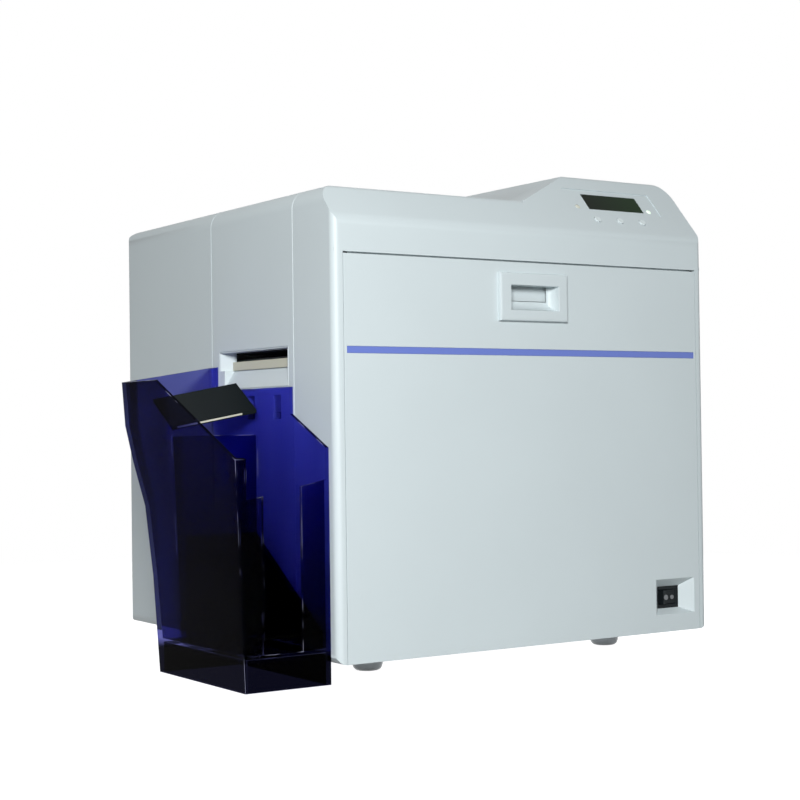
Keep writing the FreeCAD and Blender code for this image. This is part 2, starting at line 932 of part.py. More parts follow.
def make_rear_cover():
    through = (back_wall_y - S.overrun, S.body_depth + S.overrun)
    holes = [
        block("inlet_hole", grown(inlet_span, S.seat_gap), through, grown(inlet_rise, S.seat_gap)),
        block(
            "lan_hole",
            grown(lan_x, S.seat_gap),
            through,
            grown((S.port_z, S.port_z + S.lan_height), S.seat_gap),
        ),
        block(
            "usb_hole",
            grown(usb_x, S.seat_gap),
            through,
            grown((S.port_z, S.port_z + S.usb_height), S.seat_gap),
        ),
    ]
    for number, x in enumerate(screw_xs):
        holes.append(
            rod("cover_screw_hole%d" % number, "Y", (x, screw_z), S.screw_radius + S.running_gap, through)
        )
    for number in range(VENT_SLOTS):
        middle = fan_x + S.vent_pitch * (number - (VENT_SLOTS - 1) / 2)
        reach = S.fan_bore_radius
        holes.append(
            block(
                "vent%d" % number,
                (middle - S.vent_width / 2, middle + S.vent_width / 2),
                through,
                (S.fan_z - reach, S.fan_z + reach),
            )
        )
    slice_ = casing_slice("rear_cover", S.rear_seam_y + seam_half, S.body_depth + S.overrun)
    sub_part(cut("rear_cover_cut", slice_, *holes), "rear_cover")


tray_half = opening_half - S.seat_gap
tray_back = opening_back - S.seat_gap
tray_floor = base_z + S.tray_sheet


def make_base_tray():
    corner = S.rear_corner_radius - S.bottom_corner_radius
    rounds = [(2, corner), (3, corner)]
    front = S.tray_front_y
    outer = prism(
        "tray_outer",
        "XY",
        [(-tray_half, front), (tray_half, front), (tray_half, tray_back), (-tray_half, tray_back)],
        (base_z, base_z + S.tray_rim_height),
        rounds,
    )
    inner_side = tray_half - S.tray_sheet
    inner_back = tray_back - S.tray_sheet
    open_front = front - S.overrun
    inner = prism(
        "tray_inner",
        "XY",
        [
            (-inner_side, open_front),
            (inner_side, open_front),
            (inner_side, inner_back),
            (-inner_side, inner_back),
        ],
        (tray_floor, base_z + S.tray_rim_height + S.overrun),
        [(2, corner - S.tray_sheet), (3, corner - S.tray_sheet)],
    )
    holes = [
        rod(
            "tray_screw_hole%d" % number,
            "Y",
            (x, screw_z),
            S.screw_radius + S.running_gap,
            (inner_back - S.overrun, tray_back + S.overrun),
        )
        for number, x in enumerate(screw_xs)
    ]
    sub_part(cut("tray_cut", outer, inner, *holes), "base_tray")


def make_feet():
    feet = []
    for side in (-1, 1):
        for y in (S.foot_front_y, foot_back_y):
            feet.append(
                cone(
                    "foot%d" % len(feet),
                    (foot_x * side, y),
                    S.foot_radius - S.foot_taper,
                    S.foot_radius,
                    (0, S.foot_height),
                )
            )
    sub_part(fuse("feet_group", *feet), "feet")


def make_screws():
    screws = []
    for number, x in enumerate(screw_xs):
        shank = rod(
            "screw_shank%d" % number,
            "Y",
            (x, screw_z),
            S.screw_radius,
            (S.body_depth - S.screw_length, S.body_depth + S.rear_proud / 2),
        )
        head = rod(
            "screw_head%d" % number,
            "Y",
            (x, screw_z),
            S.screw_head_radius,
            (S.body_depth, S.body_depth + S.rear_proud),
        )
        screws.append(fuse("screw%d" % number, shank, head))
    sub_part(fuse("screw_group", *screws), "cover_screws")


# Front door on its two pins


pin_y = S.door_pin_y
pin_z = base_z + S.door_pin_height


def mirrored_span(low, high, side):
    return (low, high) if side > 0 else (-as_size(high), -as_size(low))


switch_x = (half - S.switch_side_inset - S.switch_window_width, half - S.switch_side_inset)
bracket_in = switch_x[0] - S.bracket_switch_gap
bracket_out = bracket_in + S.bracket_sheet
lug_in = bracket_out + S.seat_gap
lug_out = lug_in + S.lug_width


def make_hinge_brackets():
    parts = []
    for side in (-1, 1):
        x = mirrored_span(bracket_in, bracket_out, side)
        rise = (pin_z - S.lug_radius, pin_z + S.lug_radius)
        arm = block("bracket_arm%d" % side, x, (pin_y, S.bracket_back_y), rise)
        ear = rod("bracket_ear%d" % side, "X", (pin_y, pin_z), S.lug_radius, x)
        foot = block(
            "bracket_foot%d" % side,
            mirrored_span(bracket_out - S.bracket_foot_width, bracket_out, side),
            (S.tray_front_y + S.tray_sheet, S.bracket_back_y),
            (tray_floor, pin_z - S.lug_radius),
        )
        hole = rod(
            "bracket_hole%d" % side,
            "X",
            (pin_y, pin_z),
            S.door_pin_radius + S.running_gap,
            mirrored_span(bracket_in - S.overrun, bracket_out + S.overrun, side),
        )
        parts.append(cut("bracket%d" % side, fuse("bracket_solid%d" % side, arm, ear, foot), hole))
    sub_part(fuse("bracket_pair", *parts), "hinge_brackets")


def make_hinge_pins():
    pins = []
    for side in (-1, 1):
        head_x = mirrored_span(bracket_in - S.pin_head_length, bracket_in, side)
        pin_x = mirrored_span(bracket_in - S.pin_head_length, lug_out + S.slip_gap, side)
        shank = rod("pin_shank%d" % side, "X", (pin_y, pin_z), S.door_pin_radius, pin_x)
        head = rod("pin_head%d" % side, "X", (pin_y, pin_z), S.pin_head_radius, head_x)
        pins.append(fuse("pin%d" % side, shank, head))
    sub_part(fuse("pin_pair", *pins), "hinge_pins")


switch_z = (
    base_z + S.switch_window_bottom,
    base_z + S.switch_window_bottom + S.switch_window_height,
)
switch_back_x = (switch_x[0] + S.switch_left_taper, switch_x[1] - S.switch_right_taper)
switch_back_z = (switch_z[0] + S.switch_bottom_taper, switch_z[1] - S.switch_top_taper)

handle_z = (base_z + S.handle_bottom_height, base_z + S.handle_bottom_height + S.handle_height)
recess_z = handle_z[0] + S.recess_bottom_rise
mouth_top = recess_z + S.recess_mouth_height
pocket_half = S.recess_half_width + S.pocket_wall
pocket_z = (recess_z - S.pocket_wall, mouth_top + S.recess_head_room + S.pocket_wall)
latch_z = door_top - S.latch_pin_drop


def make_front_door():
    skin = block("door_skin_plate", (-door_half, door_half), (0, S.door_skin), (base_z, door_top))
    lugs = []
    for side in (-1, 1):
        x = mirrored_span(lug_in, lug_out, side)
        rise = (pin_z - S.lug_radius, pin_z + S.lug_radius)
        lugs.append(block("door_lug_block%d" % side, x, (S.door_skin / 2, pin_y), rise))
        lugs.append(rod("door_lug_eye%d" % side, "X", (pin_y, pin_z), S.lug_radius, x))
    collar = frustum(
        "switch_collar",
        (0, S.switch_depth),
        (grown(switch_x, S.switch_collar_wall), grown(switch_z, S.switch_collar_wall)),
        (grown(switch_back_x, S.switch_collar_wall), grown(switch_back_z, S.switch_collar_wall)),
    )
    window = frustum("switch_window", (0, S.switch_depth), (switch_x, switch_z), (switch_back_x, switch_back_z))
    holes = [
        rod(
            "door_pin_hole%d" % side,
            "X",
            (pin_y, pin_z),
            S.door_pin_radius + S.running_gap,
            mirrored_span(lug_in - S.overrun, lug_out + S.overrun, side),
        )
        for side in (-1, 1)
    ]
    pocket_hole = block(
        "pocket_hole",
        (-pocket_half - S.seat_gap, pocket_half + S.seat_gap),
        (-S.overrun, S.door_skin + S.overrun),
        grown(pocket_z, S.seat_gap),
    )
    stripe_end = door_half - S.stripe_end_inset + S.running_gap
    groove = block(
        "stripe_groove",
        (-stripe_end, stripe_end),
        (-S.overrun, S.stripe_depth),
        grown((stripe_low, stripe_low + S.stripe_width), S.running_gap),
    )
    solid = fuse("front_door_solid", skin, collar, *lugs)
    sub_part(cut("front_door_cut", solid, window, pocket_hole, groove, *holes), "front_door")


stripe_low = base_z + S.stripe_bottom_height


def make_door_stripe():
    end = door_half - S.stripe_end_inset
    strip = block("stripe", (-end, end), (0, S.stripe_depth), (stripe_low, stripe_low + S.stripe_width))
    sub_part(strip, "door_stripe")


liner_back = S.door_skin + S.liner_depth
liner_z = (base_z + S.liner_bottom_height, door_top - S.liner_top_drop)


def make_door_liner():
    liner_half = door_half - S.liner_side_inset
    wide = (-liner_half, liner_half)
    outer = block("liner_outer", wide, (S.door_skin, liner_back), liner_z)
    rim = S.liner_sheet
    hollow = block(
        "liner_hollow",
        grown(wide, -rim),
        (S.door_skin - S.overrun, liner_back - S.liner_sheet),
        grown(liner_z, -rim),
    )
    switch_notch = block(
        "liner_switch_notch",
        (switch_x[0] - S.switch_notch_room, half),
        (0, liner_back + S.overrun),
        (base_z, switch_z[1] + S.switch_notch_room),
    )
    latch_notch = block(
        "liner_latch_notch",
        (-pocket_half - S.switch_notch_room, pocket_half + S.switch_notch_room),
        (0, liner_back + S.overrun),
        (pocket_z[0] - S.switch_notch_room, door_top + S.overrun),
    )
    lugs = []
    holes = []
    for side in (-1, 1):
        for number, middle in enumerate((S.latch_lug_x, S.latch_lug_outer_x)):
            x = mirrored_span(middle - S.latch_lug_width / 2, middle + S.latch_lug_width / 2, side)
            tag = "%d_%d" % (side, number)
            depth = (liner_back - S.liner_sheet / 2, S.latch_pin_y)
            rise = (latch_z - S.latch_boss_radius, latch_z + S.latch_boss_radius)
            lugs.append(block("latch_lug" + tag, x, depth, rise))
            lugs.append(rod("latch_eye" + tag, "X", (S.latch_pin_y, latch_z), S.latch_boss_radius, x))
            holes.append(
                rod(
                    "latch_hole" + tag,
                    "X",
                    (S.latch_pin_y, latch_z),
                    S.latch_pin_radius + S.running_gap,
                    grown(x, S.overrun),
                )
            )
    shell = cut("liner_shell", outer, hollow, switch_notch, latch_notch)
    sub_part(cut("liner_cut", fuse("liner_with_lugs", shell, *lugs), *holes), "door_liner")


def make_handle_bezel():
    face = (grown((-S.handle_half_width, S.handle_half_width), -S.handle_chamfer), grown(handle_z, -S.handle_chamfer))
    foot = ((-S.handle_half_width, S.handle_half_width), handle_z)
    rim = frustum("handle_rim", (-S.handle_raise, 0), face, foot)
    pocket = block("handle_pocket", (-pocket_half, pocket_half), (-S.handle_raise / 2, S.recess_depth), pocket_z)
    front = -S.handle_raise
    lip_back = front + S.lip_thickness
    scoop = prism(
        "handle_scoop",
        "YZ",
        [
            (front - S.overrun, recess_z),
            (front, recess_z),
            (S.recess_depth, recess_z + S.recess_ramp_rise),
            (S.recess_depth + S.overrun, recess_z + S.recess_ramp_rise),
            (S.recess_depth + S.overrun, mouth_top + S.recess_head_room),
            (lip_back, mouth_top + S.recess_head_room),
            (lip_back, mouth_top),
            (front - S.overrun, mouth_top),
        ],
        (-S.recess_half_width, S.recess_half_width),
    )
    sub_part(cut("handle_bezel_cut", fuse("handle_bezel_solid", rim, pocket), scoop), "handle_bezel")


def make_latch():
    spot = (S.latch_pin_y, latch_z)
    shaft = rod("latch_rod", "X", spot, S.latch_pin_radius, (-S.latch_pin_half, S.latch_pin_half))
    sub_part(shaft, "latch_shaft")
    bore = S.latch_pin_radius + S.running_gap / 2
    front = S.recess_depth + S.paddle_gap_y
    blade_half = S.recess_half_width - S.slip_gap
    blade = block(
        "paddle_blade",
        (-blade_half, blade_half),
        (front, front + S.paddle_sheet),
        (recess_z + S.recess_ramp_rise + S.slip_gap, latch_z - S.latch_boss_radius),
    )
    parts = [blade]
    hooks = []
    for side in (-1, 1):
        arm_x = mirrored_span(
            S.paddle_arm_x - S.paddle_arm_width / 2, S.paddle_arm_x + S.paddle_arm_width / 2, side
        )
        parts.append(
            block(
                "paddle_arm%d" % side,
                arm_x,
                (front, S.latch_pin_y),
                (latch_z - S.latch_boss_radius - S.paddle_sheet, latch_z),
            )
        )
        parts.append(rod("paddle_eye%d" % side, "X", spot, S.latch_boss_radius, arm_x))
        hook_x = (S.hook_x * side - S.hook_width / 2, S.hook_x * side + S.hook_width / 2)
        eye = rod("hook_eye%d" % side, "X", spot, S.latch_boss_radius, hook_x)
        arm = block("hook_arm%d" % side, hook_x, (S.latch_pin_y, hook_nose_y), (latch_z, latch_z + S.hook_thickness))
        nose = block(
            "hook_nose%d" % side,
            hook_x,
            (hook_nose_y - S.hook_nose_length, hook_nose_y),
            (latch_z, latch_z + S.hook_thickness + S.hook_nose_rise),
        )
        hole = rod("hook_bore%d" % side, "X", spot, bore, grown(hook_x, S.overrun))
        hooks.append(cut("hook%d" % side, fuse("hook_solid%d" % side, eye, arm, nose), hole))
    hole = rod("paddle_bore", "X", spot, bore, (-S.latch_pin_half, S.latch_pin_half))
    sub_part(cut("paddle_cut", fuse("paddle_solid", *parts), hole), "latch_paddle")
    sub_part(fuse("hook_pair", *hooks), "latch_hooks")


# Power switch behind the door's tapered window


switch_face_y = S.switch_depth + S.switch_collar_gap
rocker_x = (switch_back_x[0] + switch_back_x[1]) / 2
rocker_z = (switch_back_z[0] + switch_back_z[1]) / 2
rocker_y = switch_face_y + S.rocker_pivot_depth


def make_switch_housing():
    flange = block(
        "switch_flange",
        grown(switch_back_x, S.switch_flange_lap),
        (switch_face_y, switch_face_y + S.switch_flange_thickness),
        grown(switch_back_z, S.switch_flange_lap),
    )
    room_x = (
        rocker_x - S.rocker_half_width - S.rocker_side_gap,
        rocker_x + S.rocker_half_width + S.rocker_side_gap,
    )
    room_z = (rocker_z - S.rocker_half_height - S.seat_gap, rocker_z + S.rocker_half_height + S.seat_gap)
    back = switch_face_y + S.switch_body_depth
    body = block(
        "switch_body",
        grown(room_x, S.switch_body_wall),
        (switch_face_y, back),
        grown(room_z, S.switch_body_wall),
    )
    stand = block(
        "switch_stand",
        grown(room_x, 0),
        (back - S.switch_stand_thickness, back),
        (tray_floor, rocker_z),
    )
    room = block("switch_room", room_x, (0, back - S.switch_stand_thickness * 2), room_z)
    solid = fuse("switch_solid", flange, body, stand)
    sub_part(cut("switch_housing_cut", solid, room), "switch_housing")


def make_rocker():
    tilt_sin = sine(S.rocker_tilt)
    tilt_cos = cosine(S.rocker_tilt)
    outline = [
        (-S.rocker_half_width, -S.rocker_tip_rise),
        (as_size(0), -S.rocker_ridge_rise),
        (S.rocker_half_width, -S.rocker_tip_rise),
        (S.rocker_back_half, S.rocker_back_depth),
        (-S.rocker_back_half, S.rocker_back_depth),
    ]
    turned_outline = [
        (rocker_x + u * tilt_cos - v * tilt_sin, rocker_y + u * tilt_sin + v * tilt_cos)
        for u, v in outline
    ]
    rise = (rocker_z - S.rocker_half_height, rocker_z + S.rocker_half_height)
    sub_part(prism("rocker", "XY", turned_outline, rise), "power_rocker")


# Control panel


def make_lcd_window():
    pane = slope_block(
        "lcd_pane",
        grown(lcd_x, -S.running_gap),
        grown(lcd_up, -S.running_gap),
        (-S.lcd_window_drop - S.lcd_window_sheet, -S.lcd_window_drop),
    )
    sub_part(pane, "lcd_window")


def make_led_lenses():
    lenses = [
        slope_rod("led%d" % n, x, S.led_up, S.led_radius, (-S.board_depth, S.led_raise - S.panel_recess))
        for n, x in enumerate(led_xs)
    ]
    sub_part(fuse("led_pair", *lenses), "led_lenses")


def make_buttons():
    names = ("left_menu_button", "middle_menu_button", "right_menu_button")
    flange_top = -S.shell_wall - S.seat_gap
    stem_end = -S.board_depth + S.button_travel + S.seat_gap
    for number, label in enumerate(names):
        x = button_x(number)
        cap = slope_rod("cap%d" % number, x, S.button_up, S.button_radius, (flange_top, S.button_raise))
        flange = slope_rod(
            "cap_flange%d" % number,
            x,
            S.button_up,
            S.button_flange_radius,
            (flange_top - S.button_flange_thickness, flange_top),
        )
        stem = slope_rod("cap_stem%d" % number, x, S.button_up, S.button_stem_radius, (stem_end, flange_top))
        sub_part(fuse("cap_solid%d" % number, cap, flange, stem), label)


def make_control_board():
    left = panel_x[0] + S.board_panel_inset
    x = (left, left + S.board_width)
    up = (S.board_low, S.board_low + S.board_length)
    board = slope_block("panel_board", x, up, (-S.board_depth - S.board_sheet, -S.board_depth))
    module = slope_block(
        "lcd_module",
        grown(lcd_x, S.lcd_module_margin),
        grown(lcd_up, S.lcd_module_margin),
        (-S.board_depth - S.board_sheet / 2, -S.shell_wall - S.seat_gap),
    )
    posts = []
    for post_x in (x[0] + S.board_post_inset, x[1] - S.board_post_inset):
        for post_up in (up[0] + S.board_post_inset, up[1] - S.board_post_inset):
            posts.append(
                slope_rod(
                    "board_post%d" % len(posts),
                    post_x,
                    post_up,
                    S.board_post_radius,
                    (-S.board_depth - S.board_sheet / 2, -S.shell_wall),
                )
            )
    sub_part(fuse("control_board_solid", board, module, *posts), "control_board")


# Card exit


slot_y = (S.exit_front_y + S.exit_edge, S.exit_front_y + S.exit_edge + S.exit_slot_length)
slot_z = (exit_top - S.exit_edge - S.exit_slot_height, exit_top - S.exit_edge)
recess_x = side_x + S.exit_depth - S.exit_back_wall


def make_exit_bezel():
    outer = block(
        "exit_block", (side_x, side_x + S.exit_depth), (S.exit_front_y, exit_back_y), (exit_bottom, exit_top)
    )
    slot = block("exit_slot", (side_x - S.overrun, side_x + S.exit_depth + S.overrun), slot_y, slot_z)
    ramp_low = exit_bottom + S.exit_edge
    chute = prism(
        "exit_chute",
        "XZ",
        [
            (side_x - S.overrun, ramp_low),
            (side_x, ramp_low),
            (recess_x, ramp_low + S.exit_ramp_height),
            (recess_x, slot_z[1]),
            (side_x - S.overrun, slot_z[1]),
        ],
        slot_y,
    )
    taper = prism(
        "exit_taper",
        "XY",
        [
            (side_x - S.overrun, slot_y[1]),
            (recess_x, slot_y[1]),
            (side_x, exit_back_y - S.exit_edge),
            (side_x - S.overrun, exit_back_y - S.exit_edge),
        ],
        (ramp_low + S.exit_ramp_height, slot_z[1]),
    )
    sub_part(cut("exit_bezel_cut", outer, slot, chute, taper), "exit_bezel")


def make_exit_lip():
    lip = block(
        "lip_strip",
        (recess_x - S.exit_lip_sheet, recess_x),
        grown(slot_y, -S.running_gap),
        (exit_bottom + S.exit_edge + S.exit_ramp_height, slot_z[0]),
    )
    sub_part(lip, "exit_lip")


# Card hopper. Its outer wall leans out, so its width is drawn at the foot and at the rim.


hopper_x = side_x - S.seat_gap
hopper_in = hopper_x - S.hopper_wall
inner_top = exit_bottom - S.hopper_below_exit
inner_rim = inner_top + S.hopper_rim_rise
outer_rim = inner_rim - S.hopper_rim_fall
lean = (S.hopper_width_top - S.hopper_width_bottom) / outer_rim


def outer_x(z, inset=0):
    """Where the leaning outer wall's face is at a height; inset draws it in."""
    return hopper_x - S.hopper_width_bottom - as_size(z) * lean + inset


def hopper_back(inset):
    """The curved back wall, from the rim down to the foot."""
    return [
        (S.hopper_rim_y - inset, inner_rim + S.overrun),
        (S.hopper_back_neck_y - inset, inner_rim - S.hopper_back_neck_drop),
        (S.hopper_back_high_y - inset, inner_rim - S.hopper_back_high_drop),
        (S.hopper_back_mid_y - inset, S.hopper_back_mid_z),
        (S.hopper_back_low_y - inset, S.hopper_back_low_z),
    ]


def make_hopper_shell():
    floor = S.hopper_floor_gap
    above = inner_rim + S.overrun
    front = S.hopper_front_y
    wall = S.hopper_wall
    side_form = prism(
        "hopper_side_form",
        "YZ",
        [(front, floor), (front, above)] + hopper_back(0) + [(S.hopper_back_foot_y, floor)],
        (outer_x(above) - S.overrun, hopper_x + S.overrun),
    )
    face_form = prism(
        "hopper_face_form",
        "XZ",
        [
            (hopper_x, floor),
            (hopper_x, inner_rim),
            (outer_x(outer_rim), outer_rim),
            (outer_x(floor), floor),
        ],
        (front - S.overrun, S.hopper_rim_y + S.overrun),
    )
    bay_floor = S.hopper_base_height
    part_y = S.hopper_partition_y
    part_top = inner_top - S.hopper_partition_drop
    foot_back = S.hopper_back_foot_y - wall
    bay_side = prism(
        "hopper_bay_side",
        "YZ",
        [(front + wall, above + S.overrun), (front + wall, bay_floor), (part_y, bay_floor)]
        + [(part_y, part_top), (part_y + wall, part_top), (part_y + wall, bay_floor), (foot_back, bay_floor)]
        + list(reversed(hopper_back(wall)))
        + [(S.hopper_rim_y - wall, above + S.overrun)],
        (outer_x(above) - S.overrun, hopper_in),
    )
    high = above + S.overrun * 2
    bay_face = prism(
        "hopper_bay_face",
        "XZ",
        [(hopper_in, floor), (hopper_in, high), (outer_x(high, wall), high), (outer_x(floor, wall), floor)],
        (front - S.overrun, S.hopper_rim_y + S.overrun),
    )
    bay = common("hopper_bay", bay_side, bay_face)
    underside = block(
        "hopper_underside",
        (outer_x(0, wall), hopper_in),
        (front + wall, foot_back),
        (floor - S.overrun, bay_floor - wall),
    )
    inner_trim = prism(
        "hopper_inner_trim",
        "YZ",
        [
            (front - S.overrun, inner_top - S.hopper_inner_front_drop),
            (front, inner_top - S.hopper_inner_front_drop),
            (S.hopper_inner_step_y, inner_top - S.hopper_inner_step_drop),
            (S.hopper_inner_step_y, inner_top),
            (S.hopper_back_top_y, inner_top),
            (S.hopper_back_top_y, high),
            (front - S.overrun, high),
        ],
        (hopper_in, hopper_x + S.overrun),
    )
    outer_trim = prism(
        "hopper_outer_trim",
        "YZ",
        [
            (front - S.overrun, outer_rim - S.hopper_outer_front_drop),
            (front, outer_rim - S.hopper_outer_front_drop),
            (S.hopper_outer_slope_y, outer_rim),
            (S.hopper_outer_slope_y, high),
            (front - S.overrun, high),
        ],
        (outer_x(high) - S.overrun, outer_x(0, wall)),
    )
    front_trim = prism(
        "hopper_front_trim",
        "XZ",
        [
            (hopper_in, S.hopper_post_top_inner),
            (hopper_in, high),
            (outer_x(0, wall), high),
            (outer_x(0, wall), S.hopper_post_top_outer),
        ],
        (front - S.overrun, front + wall),
    )
    mouth = block(
        "hopper_front_mouth",
        (outer_x(0) + S.hopper_outer_post_width, hopper_x - S.hopper_inner_post_width),
        (front - S.overrun, front + wall + S.overrun),
        (bay_floor, high),
    )
    tray = cut(
        "hopper_tray",
        common("hopper_block", side_form, face_form),
        bay,
        underside,
        inner_trim,
        outer_trim,
        front_trim,
        mouth,
    )
    hangers = []
    for number in range(2):
        y = hanger_span(number)
        neck = (hanger_z, hanger_z + S.hanger_thickness)
        behind = -inner_half + S.slip_gap
        hangers.append(
            block("hanger_neck%d" % number, (hopper_in, behind + S.hanger_tongue), y, neck)
        )
        hangers.append(
            block(
                "hanger_tongue%d" % number,
                (behind, behind + S.hanger_tongue),
                y,
                (hanger_z - S.hanger_drop, hanger_z + S.hanger_thickness),
            )
        )
    sub_part(fuse("hopper_whole", tray, *hangers), "hopper_shell")


def make_hopper_ramp():
    floor = S.hopper_base_height
    y = (S.hopper_front_y + S.hopper_wall + S.ramp_end_gap, S.hopper_partition_y - S.ramp_end_gap / 2)
    x = (outer_x(0, S.hopper_wall) + S.ramp_side_gap, hopper_in - S.ramp_side_gap)
    sheet_z = S.hopper_wall
    wedge = prism(
        "ramp_wedge",
        "YZ",
        [(y[0], floor), (y[1], floor), (y[1], floor + S.ramp_back_height), (y[0], floor + S.ramp_front_height)],
        x,
    )
    below = prism(
        "ramp_below",
        "YZ",
        [
            (y[0] - S.overrun, floor - S.overrun),
            (y[1] + S.overrun, floor - S.overrun),
            (y[1] + S.overrun, floor + S.ramp_back_height - sheet_z),
            (y[1], floor + S.ramp_back_height - sheet_z),
            (y[0], floor + S.ramp_front_height - sheet_z),
            (y[0] - S.overrun, floor + S.ramp_front_height - sheet_z),
        ],
        grown(x, -S.hopper_wall),
    )
    sub_part(cut("ramp_cut", wedge, below), "hopper_ramp")


def plank(corners, thickness):
    """A plate of even drop thickness under four top corners, given round its edge."""
    top = [Vector(*[as_size(c).value for c in corner]) for corner in corners]
    low = [Vector(p.x, p.y, p.z - as_size(thickness).value) for p in top]
    faces = [Part.Face(Part.makePolygon(top + [top[0]])), Part.Face(Part.makePolygon(low + [low[0]]))]
    for i in range(4):
        j = (i + 1) % 4
        faces.append(Part.Face(Part.makePolygon([top[i], top[j], low[j], low[i], top[i]])))
    solid = Part.Solid(Part.Shell(faces))
    if solid.Volume < 0:
        solid.reverse()
    return solid


def make_card_deflector():
    front_top = inner_top - S.deflector_front_drop
    back_top = inner_top + S.deflector_back_rise
    left = outer_x(front_top - S.deflector_side_drop, S.hopper_wall) + S.seat_gap
    right = hopper_in
    drop = S.deflector_side_drop
    corners = [
        (left, S.deflector_front_y, front_top - drop),
        (right, S.deflector_front_y, front_top),
        (right, S.deflector_back_y, back_top),
        (left, S.deflector_back_y, back_top - drop),
    ]
    sub_part(feature("deflector_plate", plank(corners, S.deflector_sheet)), "card_deflector")


# Mechanism: two upright plates carry the rollers, and the cassettes slide in through the front one


def shaft_holes(tag, y, spots):
    return [
        rod("%s_hole%d" % (tag, number), "Y", spot, S.shaft_radius + S.running_gap, y)
        for number, spot in enumerate(spots)
    ]


plate_half = inner_half - S.plate_side_gap
magazine_mid = half - S.magazine_inset
exit_roller_x = S.exit_roller_inset - half
roller_spots = [
    (magazine_mid, S.transport_z),
    (S.feed_x, S.transport_z),
    (exit_roller_x, S.transport_z),
    (S.heat_x, S.heat_z),
    (S.heat_x, S.counter_z),
    (as_size(0), S.platen_z),
    (S.head_pivot_x, S.head_pivot_z),
]

film_x = (S.cassette_side_gap - plate_half, S.film_right_x)
film_z = (S.cassette_bottom_z, S.cassette_bottom_z + S.film_height)
ribbon_x = (S.ribbon_left_x, plate_half - S.cassette_side_gap)
ribbon_z = (S.cassette_bottom_z, S.cassette_bottom_z + S.ribbon_height)
magazine_x = (
    magazine_mid - (S.card_width + S.card_room) / 2,
    magazine_mid + (S.card_width + S.card_room) / 2,
)
magazine_y = (
    slot_y[0] + S.exit_path_middle - (S.card_length + S.card_room) / 2,
    slot_y[0] + S.exit_path_middle + (S.card_length + S.card_room) / 2,
)
magazine_z = (S.guide_low_z + S.guide_sheet, S.guide_low_z + S.guide_sheet + S.magazine_height)


def upright_plate(name, y, foot_y):
    plate = block(name + "_sheet", (-plate_half, plate_half), y, (tray_floor, S.plate_top))
    foot = block(
        name + "_foot",
        (-plate_half, plate_half),
        foot_y,
        (tray_floor, tray_floor + S.plate_sheet),
    )
    return fuse(name + "_solid", plate, foot)


def make_front_plate():
    y = (S.plate_front_y, S.plate_front_y + S.plate_sheet)
    through = grown(y, S.overrun)
    gap = S.seat_gap
    windows = [
        block("film_window", grown(film_x, gap), through, grown(film_z, gap)),
        block("ribbon_window", grown(ribbon_x, gap), through, grown(ribbon_z, gap)),
        block(
            "magazine_window",
            magazine_x,
            through,
            (magazine_z[1] - S.magazine_notch_depth, magazine_z[1]),
        ),
    ]
    solid = upright_plate("front_plate", y, (y[1] - S.plate_sheet / 2, y[1] + S.plate_foot))
    holes = shaft_holes("front_plate", through, roller_spots)
    sub_part(cut("front_plate_cut", solid, *windows, *holes), "mechanism_front_plate")


def cassette_pins(x, z):
    inset = S.cassette_pin_inset
    return [(x[0] + inset, z[1] - inset), (x[1] - inset, z[0] + inset)]


def make_rear_plate():
    y = (S.plate_back_y, S.plate_back_y + S.plate_sheet)
    through = grown(y, S.overrun)
    solid = upright_plate("rear_plate", y, (y[0] - S.plate_foot, y[0] + S.plate_sheet / 2))
    holes = shaft_holes("rear_plate", through, roller_spots)
    for number, spot in enumerate(cassette_pins(film_x, film_z) + cassette_pins(ribbon_x, ribbon_z)):
        radius = S.cassette_pin_radius + S.running_gap
        holes.append(rod("cassette_pin_hole%d" % number, "Y", spot, radius, through))
    sub_part(cut("rear_plate_cut", solid, *holes), "mechanism_rear_plate")


def make_card_guides():
    y = (S.plate_front_y + S.plate_sheet, S.plate_back_y)
    left = side_x + S.exit_depth + S.guide_end_gap
    low_z = (S.guide_low_z, S.guide_low_z + S.guide_sheet)
    high_z = (S.guide_high_z, S.guide_high_z + S.guide_sheet)
    window_y = (S.guide_window_y, S.guide_window_y + S.guide_window_length)
    low = block("guide_low", (left, -left), y, low_z)
    high_end = magazine_x[0] - S.magazine_wall - S.guide_magazine_gap
    high = block("guide_high", (left, high_end), y, high_z)
    windows = []
    for x, radius in (
        (magazine_mid, S.transport_radius),
        (S.feed_x, S.transport_radius),
        (exit_roller_x, S.transport_radius),
        (S.heat_x, S.heat_radius),
    ):
        reach = radius + S.guide_roller_room
        windows.append(
            block(
                "guide_window%d" % len(windows),
                (x - reach, x + reach),
                window_y,
                grown(low_z, S.guide_roller_room),
            )
        )
    reach = S.counter_radius + S.guide_roller_room
    top_window = block(
        "counter_window",
        (S.heat_x - reach, S.heat_x + reach),
        window_y,
        grown(high_z, S.guide_roller_room),
    )
    low_cut = cut("guide_low_cut", low, *windows)
    high_cut = cut("guide_high_cut", high, top_window)
    sub_part(fuse("guide_pair", low_cut, high_cut), "card_guides")


def make_card_magazine():
    wall = S.magazine_wall
    outer = block("magazine_outer", grown(magazine_x, wall), grown(magazine_y, wall), magazine_z)
    room = block("magazine_room", magazine_x, magazine_y, grown(magazine_z, S.overrun))
    exit_gap = block(
        "magazine_exit",
        (magazine_x[0] - wall * 2, magazine_x[0] + wall),
        magazine_y,
        (magazine_z[0] - S.overrun, S.guide_high_z),
    )
    notch = block(
        "magazine_notch",
        (magazine_mid - S.magazine_notch_width / 2, magazine_mid + S.magazine_notch_width / 2),
        (magazine_y[0] - wall * 2, magazine_y[0] + wall),
        (magazine_z[1] - S.magazine_notch_depth, magazine_z[1] + S.overrun),
    )
    sub_part(cut("magazine_cut", outer, room, exit_gap, notch), "card_magazine")


